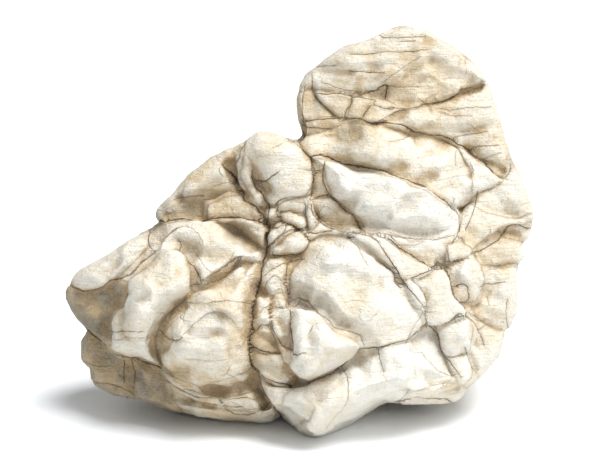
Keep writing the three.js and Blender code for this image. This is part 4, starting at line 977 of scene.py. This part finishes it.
world = to_world(points)
mesh = bpy.data.meshes.new("nodule")
mesh.vertices.add(count)
mesh.vertices.foreach_set("co", world.ravel())
mesh.loops.add(triangles.size)
mesh.loops.foreach_set("vertex_index", triangles.ravel().astype(np.int32))
mesh.polygons.add(len(triangles))
mesh.polygons.foreach_set("loop_start", np.arange(0, triangles.size, 3, dtype=np.int32))
mesh.polygons.foreach_set("loop_total", np.full(len(triangles), 3, dtype=np.int32))
mesh.polygons.foreach_set("use_smooth", np.ones(len(triangles), dtype=bool))
mesh.update(calc_edges=True)
mesh.validate()


def attribute(name, values):
    mesh.attributes.new(name, "FLOAT", "POINT").data.foreach_set("value", np.asarray(values, np.float32))


for g in range(GROUPS):
    attribute(f"joint_{g}", joint_side[:, g])
for name, values in {
    "crack_side": crack_side, "crack_far": crack_far, "crack_weight": crack_weight, "tone": tone,
    "stain": stain, "hollow_small": hollow_small, "hollow_wide": hollow_wide, "back_gap": back_gap,
    "back_share": back_share,
}.items():
    attribute(name, values)

nodule = bpy.data.objects.new("nodule", mesh)
bpy.context.scene.collection.objects.link(nodule)
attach(nodule, "root")
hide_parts("flint_nodule")


# The stone's material.
material = bpy.data.materials.new("weathered_stone")
material.use_nodes = True
tree = material.node_tree
tree.nodes.clear()


def node(kind, **inputs):
    made = tree.nodes.new(kind)
    for key, value in inputs.items():
        socket = made.inputs[int(key[1:])] if key[0] == "_" and key[1:].isdigit() else made.inputs[key]
        if isinstance(value, bpy.types.NodeSocket):
            tree.links.new(value, socket)
        else:
            socket.default_value = value
    return made


def maths(operation, a, b=0.0, clamp=False):
    made = tree.nodes.new("ShaderNodeMath")
    made.operation = operation
    made.use_clamp = clamp
    for socket, value in zip(made.inputs, (a, b)):
        if isinstance(value, bpy.types.NodeSocket):
            tree.links.new(value, socket)
        else:
            socket.default_value = value
    return made.outputs[0]


def times(a, b, clamp=False):
    return maths("MULTIPLY", a, b, clamp)


def plus(a, b, clamp=False):
    return maths("ADD", a, b, clamp)


def minus(a, b):
    return maths("SUBTRACT", a, b)


def most(a, b):
    return maths("MAXIMUM", a, b)


def ramp(value, low_in, high_in, low_out=0.0, high_out=1.0):
    made = node("ShaderNodeMapRange", _0=value)
    made.interpolation_type = "SMOOTHSTEP"
    made.inputs["From Min"].default_value = low_in
    made.inputs["From Max"].default_value = high_in
    made.inputs["To Min"].default_value = low_out
    made.inputs["To Max"].default_value = high_out
    return made.outputs[0]


def mix(share, a, b, blend_type="MIX"):
    made = tree.nodes.new("ShaderNodeMix")
    made.data_type = "RGBA"
    made.blend_type = blend_type
    for socket, value in ((made.inputs[0], share), (made.inputs[6], a), (made.inputs[7], b)):
        if isinstance(value, bpy.types.NodeSocket):
            tree.links.new(value, socket)
        else:
            socket.default_value = value if socket.type != "RGBA" or len(value) == 4 else (*value, 1)
    return made.outputs[2]


def measured(name):
    made = tree.nodes.new("ShaderNodeAttribute")
    made.attribute_name = name
    return made.outputs["Fac"]


def cloud(scale, detail=4.0, roughness=0.55, stretch=(1, 1, 1), shift=0.0, distortion=0.0):
    mapping = node("ShaderNodeMapping", Vector=coordinates)
    mapping.inputs["Scale"].default_value = stretch
    mapping.inputs["Location"].default_value = (shift, shift * 0.7, shift * 1.3)
    field = node("ShaderNodeTexNoise", Vector=mapping.outputs[0], Scale=scale, Detail=detail,
                 Roughness=roughness, Distortion=distortion)
    return field.outputs["Fac"]


coordinates = tree.nodes.new("ShaderNodeTexCoord").outputs["Object"]

tone_and_shade_here = measured("tone")
wide = measured("hollow_wide")
small = measured("hollow_small")
stained = ramp(tone_and_shade_here, 0.5, -0.4, 0.3, 1.0)  # the whitest blocks are the cleanest
patches = cloud(38, 5, 0.6)
mottle = cloud(150, 5, 0.65, shift=2.0)
grain = cloud(900, 4, 0.7, shift=5.0)
bedding = cloud(70, 6, 0.7, stretch=(0.5, 0.5, 3.2), shift=8.0, distortion=0.6)
fine_bedding = cloud(170, 4, 0.75, stretch=(0.35, 0.35, 4.0), shift=11.0, distortion=0.9)

# The tone, with its painted shade, also makes a block warmer and browner.
warmth = plus(times(tone_and_shade_here, -0.6), ramp(patches, 0.36, 0.66, -0.25, 0.55))
warmth = plus(warmth, ramp(mottle, 0.35, 0.7, -0.12, 0.3))
# Painted shade in part: wide hollows are warmer and darker, partly as ochre staining.
warmth = plus(warmth, times(ramp(wide, -0.2, 2.4, -0.05, 0.6), stained))
warmth = plus(warmth, 0.27, clamp=True)
colour = mix(warmth, CREAM, WARM)
# Painted shade: blocks with a low tone are mixed towards the dark SHADE colour, most of all the under-lobes
# on the lower left.
colour = mix(ramp(tone_and_shade_here, -0.5, -1.9, 0.0, 0.9), colour, SHADE)
ochre = times(ramp(warmth, 0.55, 1.0), ramp(cloud(75, 5, 0.6, shift=21.0), 0.4, 0.66), clamp=True)
colour = mix(times(ochre, times(stained, 0.8)), colour, OCHRE)

# Painted shade: the dark spots are mixed towards the SHADE colour; a few of them are brown staining.
shade_and_stain_mask = times(measured("stain"), ramp(cloud(140, 5, 0.65, shift=25.0), 0.25, 0.62, 0.4, 1.1))
colour = mix(maths("MINIMUM", shade_and_stain_mask, 1.0), colour, SHADE)

# Bedding streaks, strongest on the head.
streaks = times(ramp(fine_bedding, 0.56, 0.68), ramp(bedding, 0.45, 0.62))
streaks = times(streaks, ramp(tone_and_shade_here, 0.35, -0.3, 0.15, 0.6))
colour = mix(streaks, colour, STREAK)

fibres = cloud(330, 3, 0.8, stretch=(0.22, 0.22, 3.0), shift=14.0, distortion=0.5)
colour = mix(times(ramp(fibres, 0.5, 0.72, 0.0, 0.35), stained), colour, OCHRE)
mottles = ramp(cloud(520, 4, 0.75, shift=81.0), 0.52, 0.7, 0.0, 0.34)
colour = mix(times(mottles, stained), colour, BROWN)

# Ochre halos beside joints and cracks, then the dark lines themselves.
wobble = ramp(cloud(420, 3, 0.6, shift=31.0), 0.25, 0.75, -0.5, 0.5)
strength = ramp(cloud(60, 4, 0.6, shift=41.0), 0.32, 0.62, 0.25, 1.0)
joint = None
for g in range(GROUPS):
    side = maths("ABSOLUTE", plus(measured(f"joint_{g}"), times(wobble, 0.7)))
    joint = side if joint is None else maths("MINIMUM", joint, side)
crack_line = maths("ABSOLUTE", plus(measured("crack_side"), times(wobble, 0.6)))
crack_here = ramp(measured("crack_far"), 0.65, 1.1, 1.0, 0.0)
crack_deep = measured("crack_weight")
back_line = plus(measured("back_gap"), times(wobble, 1.2))
front_share = minus(1.0, measured("back_share"))

halo = times(ramp(measured("crack_far"), 0.0, 2.6, 1.0, 0.0), crack_deep)
halo = most(halo, times(ramp(joint, 0.0, 2.6, 0.7, 0.0), front_share))
halo = most(halo, times(ramp(back_line, 0.0, 6.0, 0.8, 0.0), measured("back_share")))
halo = times(halo, ramp(cloud(110, 4, 0.6, shift=51.0), 0.3, 0.6, 0.1, 1.0))
colour = mix(times(halo, ramp(stained, 0.3, 1.0, 0.5, 0.8)), colour, OCHRE)
# Painted shade, partly brown staining: small hollows and creases are mixed towards brown.
hollows = ramp(small, 0.03, 1.1, 0.0, 0.8)
hollows = times(hollows, ramp(stained, 0.3, 1.0, 0.45, 1.0))
colour = mix(times(hollows, ramp(mottle, 0.3, 0.6, 0.4, 1.0)), colour, BROWN)

# Paler crests: painted highlight on the folds, partly worn edges.
crest_highlight_and_wear = times(ramp(small, -0.1, -0.9, 0.0, 0.36), ramp(tone_and_shade_here, -1.6, 0.0, 0.25, 1.0))
colour = mix(crest_highlight_and_wear, colour, CREST_HIGHLIGHT_AND_WEAR)

line = times(ramp(joint, 0.04, 0.34, 1.0, 0.0), times(strength, 0.3))
line = times(line, front_share)
deep = times(ramp(crack_line, 0.06, 0.4, 1.0, 0.0), times(crack_here, crack_deep))
deep = times(deep, ramp(strength, 0.2, 0.8, 0.5, 1.0))
back_dark = times(ramp(back_line, 0.2, 1.4, 1.0, 0.0), times(measured("back_share"), strength))
back_dark = times(back_dark, 0.7)
line = most(most(line, deep), back_dark)
colour = mix(line, colour, CRACK)

# Hairlines and specks.
veins = node("ShaderNodeTexVoronoi", Scale=46.0, Randomness=1.0)
veins.feature = "DISTANCE_TO_EDGE"
bent_at = node("ShaderNodeVectorMath", _0=coordinates)
bent_at.operation = "ADD"
bending = node("ShaderNodeTexNoise", Vector=coordinates, Scale=40.0, Detail=2.0)
scaled = node("ShaderNodeVectorMath", _0=bending.outputs["Color"])
scaled.operation = "SCALE"
scaled.inputs["Scale"].default_value = 0.014
tree.links.new(scaled.outputs[0], bent_at.inputs[1])
tree.links.new(bent_at.outputs[0], veins.inputs["Vector"])
hairline = times(ramp(veins.outputs["Distance"], 0.004, 0.02, 1.0, 0.0),
                 ramp(cloud(55, 3, 0.5, shift=61.0), 0.5, 0.66, 0.0, 0.6))
colour = mix(hairline, colour, BROWN)
specks = ramp(cloud(620, 2, 0.5, shift=71.0), 0.66, 0.74, 0.0, 0.55)
colour = mix(specks, colour, OCHRE)
colour = mix(ramp(grain, 0.3, 0.7, 0.0, 0.16), colour, DUST)

shader = node("ShaderNodeBsdfPrincipled", **{"Base Color": colour, "Roughness": STONE_ROUGHNESS, "IOR": 1.5})
shader.inputs["Specular IOR Level"].default_value = STONE_SHINE
relief_height = times(grain, 0.35)
rough = cloud(330, 4, 0.7, shift=91.0)
for field, share in ((mottle, 0.9), (fine_bedding, 0.5), (fibres, 0.45), (rough, 0.8),
                     (line, -0.9), (hairline, -0.4)):
    relief_height = plus(relief_height, times(field, share))
bump = node("ShaderNodeBump", Strength=1.0, Distance=BUMP_DEPTH, Height=relief_height)
tree.links.new(bump.outputs[0], shader.inputs["Normal"])
output = tree.nodes.new("ShaderNodeOutputMaterial")
tree.links.new(shader.outputs[0], output.inputs["Surface"])
mesh.materials.append(material)

# Floor, light and camera.
scene = bpy.context.scene
scene.view_settings.view_transform = "Standard"
floor_mesh = bpy.data.meshes.new("floor")
floor_corners = [(x * FLOOR_HALF, y * FLOOR_HALF, 0) for x, y in ((-1, -1), (1, -1), (1, 1), (-1, 1))]
floor_mesh.from_pydata(floor_corners, [], [(0, 1, 2, 3)])
floor = bpy.data.objects.new("floor", floor_mesh)
scene.collection.objects.link(floor)
floor_material = bpy.data.materials.new("pale_floor")
floor_material.use_nodes = True
floor_shader = floor_material.node_tree.nodes["Principled BSDF"]
floor_shader.inputs["Base Color"].default_value = FLOOR_COLOUR
floor_shader.inputs["Roughness"].default_value = FLOOR_ROUGHNESS
floor_shader.inputs["Specular IOR Level"].default_value = 0.0
floor_mesh.materials.append(floor_material)

world_light = bpy.data.worlds.new("white_room")
world_light.use_nodes = True
world_light.node_tree.nodes["Background"].inputs["Color"].default_value = (1, 1, 1, 1)
world_light.node_tree.nodes["Background"].inputs["Strength"].default_value = WORLD_LIGHT
scene.world = world_light

centre = Vector((-ORIGIN_SHIFT[0] / 1000, -ORIGIN_SHIFT[1] / 1000, FLOOR_DROP / 1000))


def far_light(name, come_from, spread, power):
    """Light from a wide far source: its direction, how wide it looks and how strong it is."""
    data = bpy.data.lights.new(name, "SUN")
    data.angle = spread
    data.energy = power
    light = bpy.data.objects.new(name, data)
    light.rotation_euler = (-Vector(come_from)).to_track_quat("-Z", "Y").to_euler()
    scene.collection.objects.link(light)


far_light("key", KEY_FROM, KEY_SPREAD, KEY_POWER)
far_light("fill", FILL_FROM, FILL_SPREAD, FILL_POWER)

camera_data = bpy.data.cameras.new("eye")
camera_data.sensor_width = 36
camera_data.lens = camera_data.sensor_width * EYE_DISTANCE / (2 * DRAWING_CENTRE[0] * UNIT)
camera_data.clip_end = 50
camera = bpy.data.objects.new("eye", camera_data)
to_eye = Vector((0, -math.cos(EYE_ELEVATION), math.sin(EYE_ELEVATION))) * EYE_DISTANCE / 1000
camera.location = centre + to_eye
camera.rotation_euler = (-to_eye).to_track_quat("-Z", "Y").to_euler()
scene.collection.objects.link(camera)
scene.camera = camera
